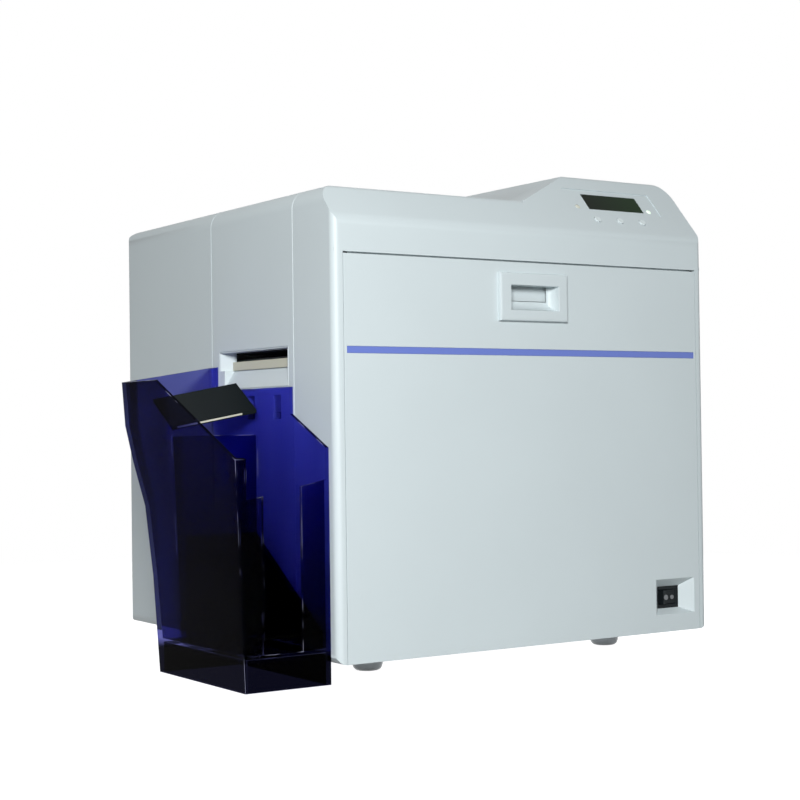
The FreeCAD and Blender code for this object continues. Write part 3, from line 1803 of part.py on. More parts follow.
def make_transport_rollers():
    face = (S.transport_front_y, S.transport_front_y + S.transport_length)
    pulley = (S.pulley_front_y, S.pulley_front_y + S.pulley_width)
    for label, x in (
        ("pick_roller", magazine_mid),
        ("feed_roller", S.feed_x),
        ("exit_roller", exit_roller_x),
    ):
        steps = [
            (S.shaft_front_y, face[0], S.shaft_radius),
            (face[0], face[1], S.transport_radius),
            (face[1], pulley[0], S.shaft_radius),
            (pulley[0], pulley[1], S.pulley_radius),
            (pulley[1], S.drive_shaft_back_y, S.shaft_radius),
        ]
        sub_part(turned(label, x, S.transport_z, steps), label)


def make_wide_rollers():
    face = (S.heat_front_y, S.heat_front_y + S.heat_length)
    for label, x, z, radius in (
        ("heat_roller", S.heat_x, S.heat_z, S.heat_radius),
        ("counter_roller", S.heat_x, S.counter_z, S.counter_radius),
        ("platen_roller", as_size(0), S.platen_z, S.platen_radius),
    ):
        steps = [
            (S.shaft_front_y, face[0], S.shaft_radius),
            (face[0], face[1], radius),
            (face[1], S.shaft_back_y, S.shaft_radius),
        ]
        sub_part(turned(label, x, z, steps), label)


def race_track(name, radius, y):
    ends = [
        rod("%s_end%d" % (name, number), "Y", (x, S.transport_z), radius, y)
        for number, x in enumerate((exit_roller_x, magazine_mid))
    ]
    middle = block(
        name + "_middle",
        (exit_roller_x, magazine_mid),
        y,
        (S.transport_z - radius, S.transport_z + radius),
    )
    return fuse(name, *ends, middle)


def make_timing_belt():
    y = (S.pulley_front_y + S.slip_gap, S.pulley_front_y + S.slip_gap + S.belt_width)
    inside = S.pulley_radius + S.seat_gap
    outer = race_track("belt_outer", inside + S.belt_sheet, y)
    inner = race_track("belt_inner", inside, grown(y, S.overrun))
    sub_part(cut("belt_cut", outer, inner), "timing_belt")


def involute(base_radius, radius):
    """Polar angle on an involute at a radius, from where it leaves the base circle."""
    if radius <= base_radius:
        return 0.0
    pressure = math.acos(base_radius / radius)
    return math.tan(pressure) - pressure


def gear_outline(teeth, backlash):
    """Corner points of an involute gear of 20 degree pressure angle, one tooth on +X."""
    module = S.gear_module.value
    pitch_radius = module * teeth / 2
    base_radius = pitch_radius * math.cos(math.radians(20))
    tip_radius = pitch_radius + module
    root_radius = pitch_radius - module * 1.25
    half_angle = math.pi / (2 * teeth) + involute(base_radius, pitch_radius)
    half_angle -= backlash / (2 * pitch_radius)
    start = max(base_radius, root_radius)
    points = []
    for tooth in range(teeth):
        middle = 2 * math.pi * tooth / teeth
        flank = []
        for step in range(FLANK_STEPS):
            radius = start + (tip_radius - start) * step / (FLANK_STEPS - 1)
            flank.append((radius, half_angle - involute(base_radius, radius)))
        side = [(root_radius, half_angle)] + flank
        for radius, angle in side:
            points.append((radius, middle - angle))
        for radius, angle in reversed(side):
            points.append((radius, middle + angle))
    return points


def gear_solid(teeth, x, z, phase, bore):
    """A spur gear about an axis along Y, turned by phase in degrees about +Z towards +X."""
    corners = []
    y = S.gear_front_y.value
    for radius, angle in gear_outline(teeth, S.gear_backlash.value):
        turn = angle + math.radians(phase)
        corners.append(
            Vector(x.value + radius * math.sin(turn), y, z.value + radius * math.cos(turn))
        )
    face = Part.Face(Part.makePolygon(corners + [corners[0]]))
    solid = face.extrude(Vector(0, S.gear_width.value, 0))
    depth = S.gear_width.value + S.overrun.value * 2
    hole = Part.makeCylinder(
        as_size(bore).value, depth, Vector(x.value, y - S.overrun.value, z.value), Vector(0, 1, 0)
    )
    return solid.cut(hole)


pinion_drop = S.gear_module * ((GEAR_TEETH + PINION_TEETH) / 2)
pinion_z = S.transport_z - pinion_drop


def make_gears():
    tooth_down = 180.0
    gap_up = 180.0 / PINION_TEETH
    drive = gear_solid(
        GEAR_TEETH, S.feed_x, S.transport_z, tooth_down, S.shaft_radius + S.running_gap / 2
    )
    sub_part(feature("drive_gear_solid", drive), "drive_gear")
    pinion = gear_solid(PINION_TEETH, S.feed_x, pinion_z, gap_up, S.motor_shaft_radius / 2)
    wheel = feature("pinion_wheel", pinion)
    shaft = rod(
        "pinion_shaft",
        "Y",
        (S.feed_x, pinion_z),
        S.motor_shaft_radius,
        (S.gear_front_y, S.motor_face_y + S.motor_shaft_depth - S.slip_gap),
    )
    sub_part(fuse("pinion_solid", wheel, shaft), "motor_pinion")


def make_drive_motor():
    reach = S.motor_size / 2
    can = block(
        "motor_can",
        (S.feed_x - reach, S.feed_x + reach),
        (S.motor_face_y, S.motor_face_y + S.motor_length),
        (pinion_z - reach, pinion_z + reach),
    )
    posts = [
        rod(
            "motor_post%d" % side,
            "Y",
            (S.feed_x + S.motor_post_x * side, pinion_z - S.motor_post_drop),
            S.motor_post_radius,
            (S.plate_back_y + S.plate_sheet, S.motor_face_y + S.slip_gap),
        )
        for side in (-1, 1)
    ]
    hole = rod(
        "motor_bore",
        "Y",
        (S.feed_x, pinion_z),
        S.motor_shaft_radius + S.running_gap,
        (S.motor_face_y - S.slip_gap, S.motor_face_y + S.motor_shaft_depth),
    )
    sub_part(cut("motor_cut", fuse("motor_solid", can, *posts), hole), "drive_motor")


def make_print_head():
    spot = (S.head_pivot_x, S.head_pivot_z)
    face = (S.heat_front_y, S.heat_front_y + S.heat_length)
    axle = rod("head_axle", "Y", spot, S.shaft_radius, (S.shaft_front_y, S.shaft_back_y))
    boss = rod("head_boss", "Y", spot, S.head_boss_radius, face)
    arm = block(
        "head_arm",
        (S.head_pivot_x - S.head_arm_left, S.head_pivot_x + S.head_arm_right),
        face,
        (S.head_pivot_z, S.head_pivot_z + S.head_arm_height),
    )
    bar = block(
        "head_bar",
        (S.platen_radius + S.seat_gap, S.head_pivot_x),
        face,
        (S.platen_z - S.head_bar_height / 2, S.platen_z + S.head_bar_height / 2),
    )
    sub_part(fuse("print_head_solid", axle, boss, arm, bar), "print_head")


# Cassettes


cassette_y = (S.cassette_front_y, S.cassette_front_y + S.cassette_length)


def make_cassette(tag, x, z, hubs):
    plate = S.cassette_plate
    bar = S.cassette_bar
    parts = [
        block(tag + "_front", x, (cassette_y[0], cassette_y[0] + plate), z),
        block(tag + "_rear", x, (cassette_y[1] - plate, cassette_y[1]), z),
        block(tag + "_floor", x, cassette_y, (z[0], z[0] + S.cassette_floor)),
        block(tag + "_left_bar", (x[0], x[0] + bar), cassette_y, (z[1] - bar, z[1])),
        block(tag + "_right_bar", (x[1] - bar, x[1]), cassette_y, (z[1] - bar, z[1])),
    ]
    for number, spot in enumerate(cassette_pins(x, z)):
        pin_span = (cassette_y[1] - plate / 2, S.plate_back_y + S.plate_sheet)
        parts.append(rod("%s_pin%d" % (tag, number), "Y", spot, S.cassette_pin_radius, pin_span))
    holes = [
        rod(
            "%s_hub%d" % (tag, number),
            "Y",
            spot,
            S.spool_hub_radius + S.running_gap,
            grown(cassette_y, S.overrun / 2),
        )
        for number, spot in enumerate(hubs)
    ]
    sub_part(cut(tag + "_cut", fuse(tag + "_solid", *parts), *holes), tag)


def make_spool(tag, x, z, roll_radius):
    plate = S.cassette_plate
    knob_end = cassette_y[0] - S.spool_knob_gap
    core_start = cassette_y[0] + plate + S.spool_end_gap
    core_end = cassette_y[1] - plate - S.spool_end_gap
    steps = [
        (knob_end - S.spool_knob_length, knob_end, S.spool_knob_radius),
        (knob_end, core_start, S.spool_hub_radius),
        (core_start, core_end, S.spool_core_radius),
        (core_end, cassette_y[1] + S.spool_tail_length, S.spool_hub_radius),
    ]
    sub_part(turned(tag + "_core", x, z, steps), tag + "_core")
    roll_y = (core_start + S.roll_end_margin, core_end - S.roll_end_margin)
    wound = rod(tag + "_wound", "Y", (x, z), roll_radius, roll_y)
    bore = rod(tag + "_bore", "Y", (x, z), S.spool_core_radius + S.running_gap, grown(roll_y, S.overrun))
    sub_part(cut(tag + "_roll_cut", wound, bore), tag + "_roll")


def spool_spots(xs, top, radii):
    """The full spool hangs near the cassette's top, and the other one clear below it."""
    supply_z = top - S.spool_gap - radii[0]
    return [(xs[0], supply_z), (xs[1], supply_z - radii[0] - S.spool_gap - radii[1])]


def make_cassettes():
    film_hubs = spool_spots(
        (film_x[0] + S.film_supply_inset, film_x[1] - S.film_takeup_inset),
        film_z[1],
        (S.film_supply_radius, S.film_takeup_radius),
    )
    ribbon_hubs = spool_spots(
        (ribbon_x[0] + S.ribbon_supply_inset, ribbon_x[1] - S.ribbon_takeup_inset),
        ribbon_z[1],
        (S.ribbon_supply_radius, S.ribbon_takeup_radius),
    )
    make_cassette("film_cassette", film_x, film_z, film_hubs)
    make_cassette("ribbon_cassette", ribbon_x, ribbon_z, ribbon_hubs)
    make_spool("film_supply", *film_hubs[0], S.film_supply_radius)
    make_spool("film_takeup", *film_hubs[1], S.film_takeup_radius)
    make_spool("ribbon_supply", *ribbon_hubs[0], S.ribbon_supply_radius)
    make_spool("ribbon_takeup", *ribbon_hubs[1], S.ribbon_takeup_radius)


# Electrics


def make_power_supply():
    left = S.psu_side_gap - inner_half
    x = (left, left + S.psu_width)
    y = (S.plate_back_y + S.plate_sheet + S.psu_front_gap, back_wall_y - S.psu_back_gap)
    z = (tray_floor, tray_floor + S.psu_height)
    can = block("psu_can", x, y, z)
    slots = []
    for number in range(PSU_SLOTS):
        slot_x = (x[0] + x[1]) / 2 + S.psu_slot_pitch * (number - (PSU_SLOTS - 1) / 2)
        slots.append(
            block(
                "psu_slot%d" % number,
                (slot_x - S.psu_slot_width / 2, slot_x + S.psu_slot_width / 2),
                grown(y, -S.psu_slot_margin),
                (z[1] - S.psu_slot_depth, z[1] + S.overrun),
            )
        )
    sub_part(cut("psu_cut", can, *slots), "power_supply")


def make_main_board():
    x = (S.mainboard_left_x, inner_half - S.mainboard_side_gap)
    z = (S.mainboard_bottom_z, S.mainboard_bottom_z + S.mainboard_height)
    face = S.plate_back_y + S.plate_sheet
    y = (face + S.mainboard_standoff, face + S.mainboard_standoff + S.board_sheet)
    parts = [block("mainboard_sheet", x, y, z)]
    inset = S.mainboard_post_inset
    for post_x in (x[0] + inset, x[1] - inset):
        for post_z in (z[0] + inset, z[1] - inset):
            name = "mainboard_post%d" % len(parts)
            parts.append(rod(name, "Y", (post_x, post_z), S.mainboard_post_radius, (face, y[1])))
    middle_z = (z[0] + z[1]) / 2
    for number in range(3):
        chip_x = x[0] + (x[1] - x[0]) * (number + 1) / 4
        parts.append(
            block(
                "chip%d" % number,
                (chip_x - S.chip_size / 2, chip_x + S.chip_size / 2),
                (y[1] - S.board_sheet / 2, y[1] + S.chip_height),
                (middle_z - S.chip_size / 2, middle_z + S.chip_size / 2),
            )
        )
    sub_part(fuse("main_board_solid", *parts), "main_board")


fan_y = (back_wall_y - S.seat_gap - S.fan_depth, back_wall_y - S.seat_gap)


def make_fan_frame():
    reach = S.fan_size / 2
    spot = (fan_x, S.fan_z)
    frame = block(
        "fan_box", (fan_x - reach, fan_x + reach), fan_y, (S.fan_z - reach, S.fan_z + reach)
    )
    bore = rod("fan_bore", "Y", spot, S.fan_bore_radius, grown(fan_y, S.overrun))
    ring = cut("fan_ring", frame, bore)
    spider_y = (fan_y[0], fan_y[0] + S.fan_spider_thickness)
    arm = S.fan_spider_width / 2
    parts = [
        rod("fan_hub", "Y", spot, S.fan_hub_radius, spider_y),
        rod("fan_axle", "Y", spot, S.fan_axle_radius, (fan_y[0], spider_y[1] + S.fan_axle_length)),
        block("fan_arm_x", (fan_x - reach, fan_x + reach), spider_y, (S.fan_z - arm, S.fan_z + arm)),
        block("fan_arm_z", (fan_x - arm, fan_x + arm), spider_y, (S.fan_z - reach, S.fan_z + reach)),
    ]
    sub_part(fuse("fan_frame_solid", ring, *parts), "fan_frame")


def fan_blade(number, hub_y):
    """One pitched blade, from inside the hub out to its tip."""
    chord = S.fan_blade_chord.value
    thickness = S.fan_blade_thickness.value
    root = S.fan_hub_radius.value * 0.9
    reach = S.fan_blade_reach.value - root
    blade = Part.makeBox(thickness, chord, reach, Vector(-thickness / 2, -chord / 2, root))
    blade.rotate(Vector(0, 0, 0), Vector(0, 0, 1), S.fan_blade_pitch.value)
    blade.rotate(Vector(0, 0, 0), Vector(0, 1, 0), 360.0 * number / FAN_BLADES)
    blade.translate(Vector(fan_x.value, hub_y, S.fan_z.value))
    return blade


def make_fan_rotor():
    start = fan_y[0] + S.fan_spider_thickness + S.fan_rotor_gap
    end = start + S.fan_rotor_length
    spot = (fan_x, S.fan_z)
    hub = rod("rotor_hub", "Y", spot, S.fan_hub_radius, (start, end))
    middle = ((start + end) / 2).value
    blades = [feature("blade%d" % n, fan_blade(n, middle)) for n in range(FAN_BLADES)]
    bore = rod(
        "rotor_bore",
        "Y",
        spot,
        S.fan_axle_radius + S.running_gap,
        (start - S.overrun, fan_y[0] + S.fan_spider_thickness + S.fan_axle_length + S.slip_gap),
    )
    sub_part(cut("rotor_cut", fuse("rotor_solid", hub, *blades), bore), "fan_rotor")


def make_power_inlet():
    outside = S.body_depth + S.rear_proud
    flange = block(
        "inlet_flange",
        grown(inlet_span, S.inlet_flange_lap),
        (S.body_depth, outside),
        grown(inlet_rise, S.inlet_flange_lap),
    )
    body = block(
        "inlet_body", inlet_span, (S.body_depth - S.inlet_body_depth, outside), inlet_rise
    )
    socket = block(
        "inlet_socket",
        grown(inlet_span, -S.inlet_socket_wall),
        (outside - S.inlet_socket_depth, outside + S.overrun),
        grown(inlet_rise, -S.inlet_socket_wall),
    )
    shell = cut("inlet_shell", fuse("inlet_solid", flange, body), socket)
    pins = []
    for number, rise in ((-1, -S.inlet_pin_rise), (0, S.inlet_pin_rise), (1, -S.inlet_pin_rise)):
        middle_x = inlet_x + S.inlet_pin_pitch * number
        middle_z = S.inlet_z + rise
        pins.append(
            block(
                "inlet_pin%d" % number,
                (middle_x - S.inlet_pin_thickness / 2, middle_x + S.inlet_pin_thickness / 2),
                (
                    outside - S.inlet_socket_depth - S.slip_gap,
                    outside - S.inlet_socket_depth + S.inlet_pin_length,
                ),
                (middle_z - S.inlet_pin_width / 2, middle_z + S.inlet_pin_width / 2),
            )
        )
    sub_part(fuse("power_inlet_solid", shell, *pins), "power_inlet")


def make_data_ports():
    outside = S.body_depth
    y = (outside - S.port_depth, outside)
    bodies = []
    sockets = []
    for tag, x, height in (
        ("lan", lan_x, S.lan_height),
        ("usb", usb_x, S.usb_height),
    ):
        z = (S.port_z, S.port_z + height)
        bodies.append(block(tag + "_body", x, y, z))
        sockets.append(
            block(
                tag + "_socket",
                grown(x, -S.port_socket_wall),
                (outside - S.port_socket_depth, outside + S.overrun),
                grown(z, -S.port_socket_wall),
            )
        )
    plate = block(
        "port_plate",
        (lan_x[0] - S.port_plate_lap, usb_x[1] + S.port_plate_lap),
        (y[0] - S.port_plate_sheet, y[0]),
        grown((S.port_z, S.port_z + S.lan_height), S.port_plate_lap),
    )
    sub_part(cut("data_ports_cut", fuse("data_ports_solid", plate, *bodies), *sockets), "data_ports")


# Assembly


def build():
    make_front_frame()
    make_middle_cover()
    make_rear_cover()
    make_base_tray()
    make_feet()
    make_screws()
    make_hinge_brackets()
    make_hinge_pins()
    make_front_door()
    make_door_stripe()
    make_door_liner()
    make_handle_bezel()
    make_latch()
    make_switch_housing()
    make_rocker()
    make_lcd_window()
    make_led_lenses()
    make_buttons()
    make_control_board()
    make_exit_bezel()
    make_exit_lip()
    make_hopper_shell()
    make_hopper_ramp()
    make_card_deflector()
    make_front_plate()
    make_rear_plate()
    make_card_guides()
    make_card_magazine()
    make_transport_rollers()
    make_wide_rollers()
    make_timing_belt()
    make_gears()
    make_drive_motor()
    make_print_head()
    make_cassettes()
    make_power_supply()
    make_main_board()
    make_fan_frame()
    make_fan_rotor()
    make_power_inlet()
    make_data_ports()


def check():
    """Stops before anything is written if a feature failed or a piece isn't a sound solid."""
    failed = [o.Name for o in doc.Objects if "Invalid" in o.State or "Error" in o.State]
    for obj in sub_parts:
        shape = obj.Shape
        if shape.isNull() or not shape.isValid() or not shape.Solids or shape.Volume <= 0:
            failed.append(obj.Label)
    if failed:
        raise RuntimeError("These pieces failed: " + ", ".join(failed))
    labels = [obj.Label for obj in sub_parts]
    if len(set(labels)) != len(labels):
        raise RuntimeError("Two pieces have the same name")


def export():
    os.makedirs("parts", exist_ok=True)
    for obj in sub_parts:
        obj.Shape.exportStep("parts/%s.step" % obj.Label)
        print(obj.Label, len(obj.Shape.Solids), "solid(s), volume", round(obj.Shape.Volume))


build()
doc.recompute()
check()
export()
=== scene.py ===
import json
import math
from contextlib import contextmanager

import bpy
from bpy.props import FloatProperty, FloatVectorProperty, IntProperty, PointerProperty
from mathutils import Euler, Matrix, Vector

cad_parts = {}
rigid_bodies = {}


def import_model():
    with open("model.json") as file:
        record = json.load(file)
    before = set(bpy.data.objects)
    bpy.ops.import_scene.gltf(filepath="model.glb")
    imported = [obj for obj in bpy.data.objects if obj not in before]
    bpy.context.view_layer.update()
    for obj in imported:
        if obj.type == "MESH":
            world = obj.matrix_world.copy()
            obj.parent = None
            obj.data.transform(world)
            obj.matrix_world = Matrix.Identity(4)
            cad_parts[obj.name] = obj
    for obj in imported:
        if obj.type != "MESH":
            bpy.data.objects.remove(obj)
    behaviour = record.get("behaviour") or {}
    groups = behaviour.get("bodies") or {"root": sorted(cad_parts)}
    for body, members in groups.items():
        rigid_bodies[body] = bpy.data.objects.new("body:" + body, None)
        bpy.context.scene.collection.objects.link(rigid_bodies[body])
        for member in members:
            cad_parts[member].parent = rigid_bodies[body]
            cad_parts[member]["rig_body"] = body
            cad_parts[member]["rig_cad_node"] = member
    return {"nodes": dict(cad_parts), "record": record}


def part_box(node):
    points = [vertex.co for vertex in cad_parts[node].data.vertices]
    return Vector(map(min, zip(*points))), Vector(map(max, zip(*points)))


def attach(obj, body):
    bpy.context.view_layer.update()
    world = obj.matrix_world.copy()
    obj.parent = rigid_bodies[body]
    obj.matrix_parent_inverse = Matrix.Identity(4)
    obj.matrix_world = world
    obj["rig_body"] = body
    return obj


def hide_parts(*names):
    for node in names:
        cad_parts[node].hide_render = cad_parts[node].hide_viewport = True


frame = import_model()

bl_info = {
    "name": "Id card printer",
    "version": (1, 0, 0),
    "blender": (4, 5, 0),
    "location": "3D View > Sidebar > Card printer",
    "description": "Builds the looks of an id card printer around its packed CAD frame",
    "category": "Object",
}

MM = 0.001
MERGE_DISTANCE = 0.000002
# A face counts as facing along an axis from this part of its normal on.
FACING = 0.9
NODE_SLOTS = {part["node"]: part["material_slot"] for part in frame["record"]["subparts"]}
NODE_BODIES = {
    node: body
    for body, nodes in frame["record"]["behaviour"]["bodies"].items()
    for node in nodes
}
BROW_ANGLE = math.radians(49)
BROW_OUT = Vector((0, -math.sin(BROW_ANGLE), math.cos(BROW_ANGLE)))
BLACK = (0.0, 0.0, 0.0)
looks = {}


class PieceError(Exception):
    """A piece that couldn't be built, with what was missing."""


# Boxes and places


def mm(*values):
    """Millimetres as metres."""
    return [value * MM for value in values]


def span(node):
    """The lowest and highest corner of a CAD node."""
    low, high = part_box(node)
    return Vector(low), Vector(high)


def middle(node):
    low, high = span(node)
    return (low + high) / 2


def front_end(node):
    """Where the axis of a round part that lies along y meets its front."""
    centre = middle(node)
    return Vector((centre.x, span(node)[0].y, centre.z))


def within(place, wide, tall, slack=0.0):
    """Whether a place lies between two x values and two z values."""
    return (
        wide[0] - slack < place.x < wide[1] + slack
        and tall[0] - slack < place.z < tall[1] + slack
    )


# Modelling steps


def deselect():
    if bpy.context.mode != "OBJECT":
        bpy.ops.object.mode_set(mode="OBJECT")
    bpy.ops.object.select_all(action="DESELECT")


def activate(piece):
    deselect()
    piece.select_set(True)
    bpy.context.view_layer.objects.active = piece


def select_everything(kind):
    bpy.ops.mesh.select_mode(type=kind)
    bpy.ops.mesh.select_all(action="SELECT")


@contextmanager
def editing(piece, kind="FACE"):
    """The piece in edit mode, with everything selected."""
    activate(piece)
    bpy.ops.object.mode_set(mode="EDIT")
    select_everything(kind)
    yield piece
    bpy.ops.object.mode_set(mode="OBJECT")


def named(piece, name):
    piece.name = name
    piece.data.name = name
    return piece


def settle(name):
    """Names the new active object and puts its place and size into its mesh."""
    bpy.ops.object.transform_apply(location=True, rotation=True, scale=True)
    return named(bpy.context.object, name)


def cuboid(name, low, high):
    deselect()
    low, high = Vector(low), Vector(high)
    bpy.ops.mesh.primitive_cube_add(size=1, location=(low + high) / 2, scale=high - low)
    return settle(name)


def pick(piece, test, kind="FACE"):
    """Selects by a test that gets a face's middle and normal, or an edge's or corner's place."""
    bpy.ops.mesh.select_mode(type=kind)
    bpy.ops.mesh.select_all(action="DESELECT")
    bpy.ops.object.mode_set(mode="OBJECT")
    mesh = piece.data
    if kind == "FACE":
        found = [(face, face.center, face.normal) for face in mesh.polygons]
    elif kind == "EDGE":
        ends = [[mesh.vertices[number].co for number in edge.vertices] for edge in mesh.edges]
        found = [(edge, (pair[0] + pair[1]) / 2) for edge, pair in zip(mesh.edges, ends)]
    else:
        found = [(corner, corner.co) for corner in mesh.vertices]
    for item, *facts in found:
        item.select = bool(test(*facts))
    picked = any(item.select for item, *_ in found)
    bpy.ops.object.mode_set(mode="EDIT")
    if not picked:
        raise PieceError("nothing on %s passed the test" % piece.name)


def shift(x=0, y=0, z=0):
    bpy.ops.transform.translate(value=(x, y, z))


def stretch(x, y, z, about):
    bpy.ops.transform.resize(value=(x, y, z), center_override=tuple(about))


def extrude(x=0, y=0, z=0):
    bpy.ops.mesh.extrude_region_move(TRANSFORM_OT_translate={"value": (x, y, z)})


def bevel(width, segments=3, profile=0.5):
    bpy.ops.mesh.bevel(
        offset=width, segments=segments, profile=profile, affect="EDGES", clamp_overlap=True
    )


def cut_across(place, normal, **how):
    """A flat cut through the whole piece; it leaves both sides unless told otherwise."""
    bpy.ops.mesh.select_all(action="SELECT")
    bpy.ops.mesh.bisect(plane_co=place, plane_no=normal, **how)


def tidy_faces():
    """Corners that meet become one, and the faces point outward."""
    bpy.ops.mesh.select_all(action="SELECT")
    bpy.ops.mesh.remove_doubles(threshold=MERGE_DISTANCE)
    bpy.ops.mesh.normals_make_consistent(inside=False)


def modified(piece, kind, **values):
    """A modifier with these values, applied at once."""
    activate(piece)
    modifier = piece.modifiers.new(kind.lower(), kind)
    for key, value in values.items():
        setattr(modifier, key, value)
    bpy.ops.object.modifier_apply(modifier=modifier.name)
    return piece


def soften(piece, width, segments=2, angle=30):
    """Rounds every edge sharper than the angle."""
    values = {"width": width, "segments": segments, "angle_limit": math.radians(angle)}
    return modified(piece, "BEVEL", limit_method="ANGLE", **values)


def smooth(piece, angle):
    """Smooth shading that keeps flat faces flat beside their rounded edges."""
    activate(piece)
    bpy.ops.object.shade_smooth_by_angle(angle=math.radians(angle))
    modified(piece, "WEIGHTED_NORMAL", mode="FACE_AREA", weight=100, keep_sharp=True)


def lathe(name, start, axis, profile, steps):
    """A solid of revolution: profile holds (distance along the axis, radius) pairs in mm."""
    deselect()
    start, axis = Vector(start), Vector(axis).normalized()
    side = axis.orthogonal().normalized()
    places = [start + (axis * along + side * radius) * MM for along, radius in profile]
    bpy.ops.mesh.primitive_plane_add(size=MM, location=places[0])
    piece = settle(name)
    with editing(piece, "VERT"):
        bpy.ops.mesh.merge(type="CENTER")
        for before, after in zip(places, places[1:]):
            step = tuple(after - before)
            bpy.ops.mesh.extrude_vertices_move(TRANSFORM_OT_translate={"value": step})
        bpy.ops.mesh.select_all(action="SELECT")
        bpy.ops.mesh.spin(steps=steps, angle=math.tau, center=start, axis=axis)
        tidy_faces()
    return piece


def copied(node):
    """A copy of a CAD node as one closed mesh."""
    activate(frame["nodes"][node])
    bpy.ops.object.duplicate(linked=False)
    piece = named(bpy.context.object, node + "_look")
    piece.parent = None
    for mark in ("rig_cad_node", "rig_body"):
        if mark in piece:
            del piece[mark]
    with editing(piece, "VERT"):
        bpy.ops.mesh.remove_doubles(threshold=MERGE_DISTANCE)
        bpy.ops.mesh.dissolve_limited(angle_limit=math.radians(0.3))
    return piece


def repeated(piece, step):
    """A copy of a finished shape, moved by step, with its own mesh."""
    activate(piece)
    bpy.ops.object.duplicate(linked=False)
    shift(*step)
    bpy.ops.object.transform_apply(location=True, rotation=True, scale=True)
    return bpy.context.object


def carve(piece, tool):
    """Cuts the tool's shape out of the piece, and removes the tool."""
    modified(piece, "BOOLEAN", object=tool, operation="DIFFERENCE", solver="EXACT")
    activate(tool)
    bpy.ops.object.delete()


def joined(name, *pieces):
    """Several meshes as one piece."""
    activate(pieces[0])
    for piece in pieces:
        piece.select_set(True)
    bpy.ops.object.join()
    return named(bpy.context.object, name)


def with_copies(name, piece, steps):
    """A piece and its copies, each moved by a step, as one piece."""
    return joined(name, piece, *[repeated(piece, step) for step in steps])


def finish_piece(piece, slot, body, *nodes, angle=32):
    """Shades a piece, and gives it its material, its body and the CAD nodes it stands for."""
    smooth(piece, angle)
    piece.data.materials.clear()
    piece.data.materials.append(looks[slot])
    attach(piece, body)
    if nodes:
        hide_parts(*nodes)


def finish_node(piece, node, angle=32):
    """A piece takes the place of one CAD node, with its material and body."""
    finish_piece(piece, NODE_SLOTS[node], NODE_BODIES[node], node, angle=angle)


def stand_for(width, segments, *nodes):
    """Softened copies take the place of CAD nodes."""
    for node in nodes:
        finish_node(soften(copied(node), width, segments, 35), node, 35)


def trim_bar(node, axis, width, segments):
    """A bar as long as its CAD node, rounded on its low side along an axis."""
    low, high = span(node)
    bar = cuboid(node + "_look", low, high)
    with editing(bar, "EDGE"):
        pick(bar, lambda place: place[axis] < low[axis] + 0.1 * MM, "EDGE")
        bevel(width, segments)
    finish_node(bar, node)


def turned(node, profile, angle):
    """A turned piece along y takes the place of a CAD node."""
    start, steps = front_end(node), settings().lathe_steps
    finish_node(lathe(node + "_look", start, (0, 1, 0), profile, steps), node, angle)


def pan_screw(start, inward, head, length):
    """A pan-head screw with a cross recess; inward points from its head to its tip."""
    shank = 1.5
    profile = [(0, 0), (0, head * 0.45), (head * 0.08, head * 0.8), (head * 0.22, head)]
    profile += [(head * 0.44, head), (head * 0.46, shank), (length, shank), (length, 0)]
    screw = lathe("screw", start, inward, profile, 32)
    start, inward = Vector(start), Vector(inward) * head * MM
    low, high = sorted((start - inward * 0.16, start + inward * 0.25), key=lambda end: end.y)
    for across, up in ((0.62, 0.15), (0.15, 0.62)):
        reach = Vector((across, 0, up)) * head * MM
        carve(screw, cuboid("recess", low - reach, high + reach))
    return screw


# Materials


class Number:
    """A number in a node tree; arithmetic on it adds Math nodes."""

    def __init__(self, nodes, socket):
        self.nodes = nodes
        self.socket = socket

    def math(self, operation, *values):
        return self.nodes.node("Math", dict(enumerate(values)), operation=operation)

    def __add__(self, other):
        return self.math("ADD", self, other)

    def __radd__(self, other):
        return self.math("ADD", other, self)

    def __sub__(self, other):
        return self.math("SUBTRACT", self, other)

    def __rsub__(self, other):
        return self.math("SUBTRACT", other, self)

    def __mul__(self, other):
        return self.math("MULTIPLY", self, other)

    def __truediv__(self, other):
        return self.math("DIVIDE", self, other)

    def most(self, other):
        return self.math("MAXIMUM", self, other)

    def least(self, other):
        return self.math("MINIMUM", self, other)

    def clipped(self):
        """Kept between 0 and 1."""
        return self.most(0.0).least(1.0)

    def over(self, limit):
        return self.math("GREATER_THAN", self, limit)


class Nodes:
    """A node tree with one output, built by steps."""

    def __init__(self, tree, output):
        self.tree = tree
        tree.nodes.clear()
        self.output = self.new(output)

    def new(self, kind):
        return self.tree.nodes.new("ShaderNode" + kind)

    def feed(self, socket, value):
        if isinstance(value, Number):
            self.tree.links.new(value.socket, socket)
        else:
            socket.default_value = value

    def node(self, kind, inputs, output=0, **values):
        """Any node: its own values go in first, then its inputs."""
        node = self.new(kind)
        for key, value in values.items():
            setattr(node, key, value)
        for key, value in inputs.items():
            self.feed(node.inputs[key], value)
        return Number(self, node.outputs[output])

    def show(self, shader):
        self.feed(self.output.inputs["Surface"], shader)

    def mixed(self, share, first, second):
        """One shader that turns into another by share."""
        return self.node("MixShader", {0: share, 1: first, 2: second})

    def seen(self):
        """1 for what the camera sees, straight or by way of gloss or glass."""
        node = self.new("LightPath")
        kinds = ("Is Camera Ray", "Is Glossy Ray", "Is Transmission Ray")
        straight, gloss, glass = [Number(self, node.outputs[kind]) for kind in kinds]
        return straight.most(gloss).most(glass)


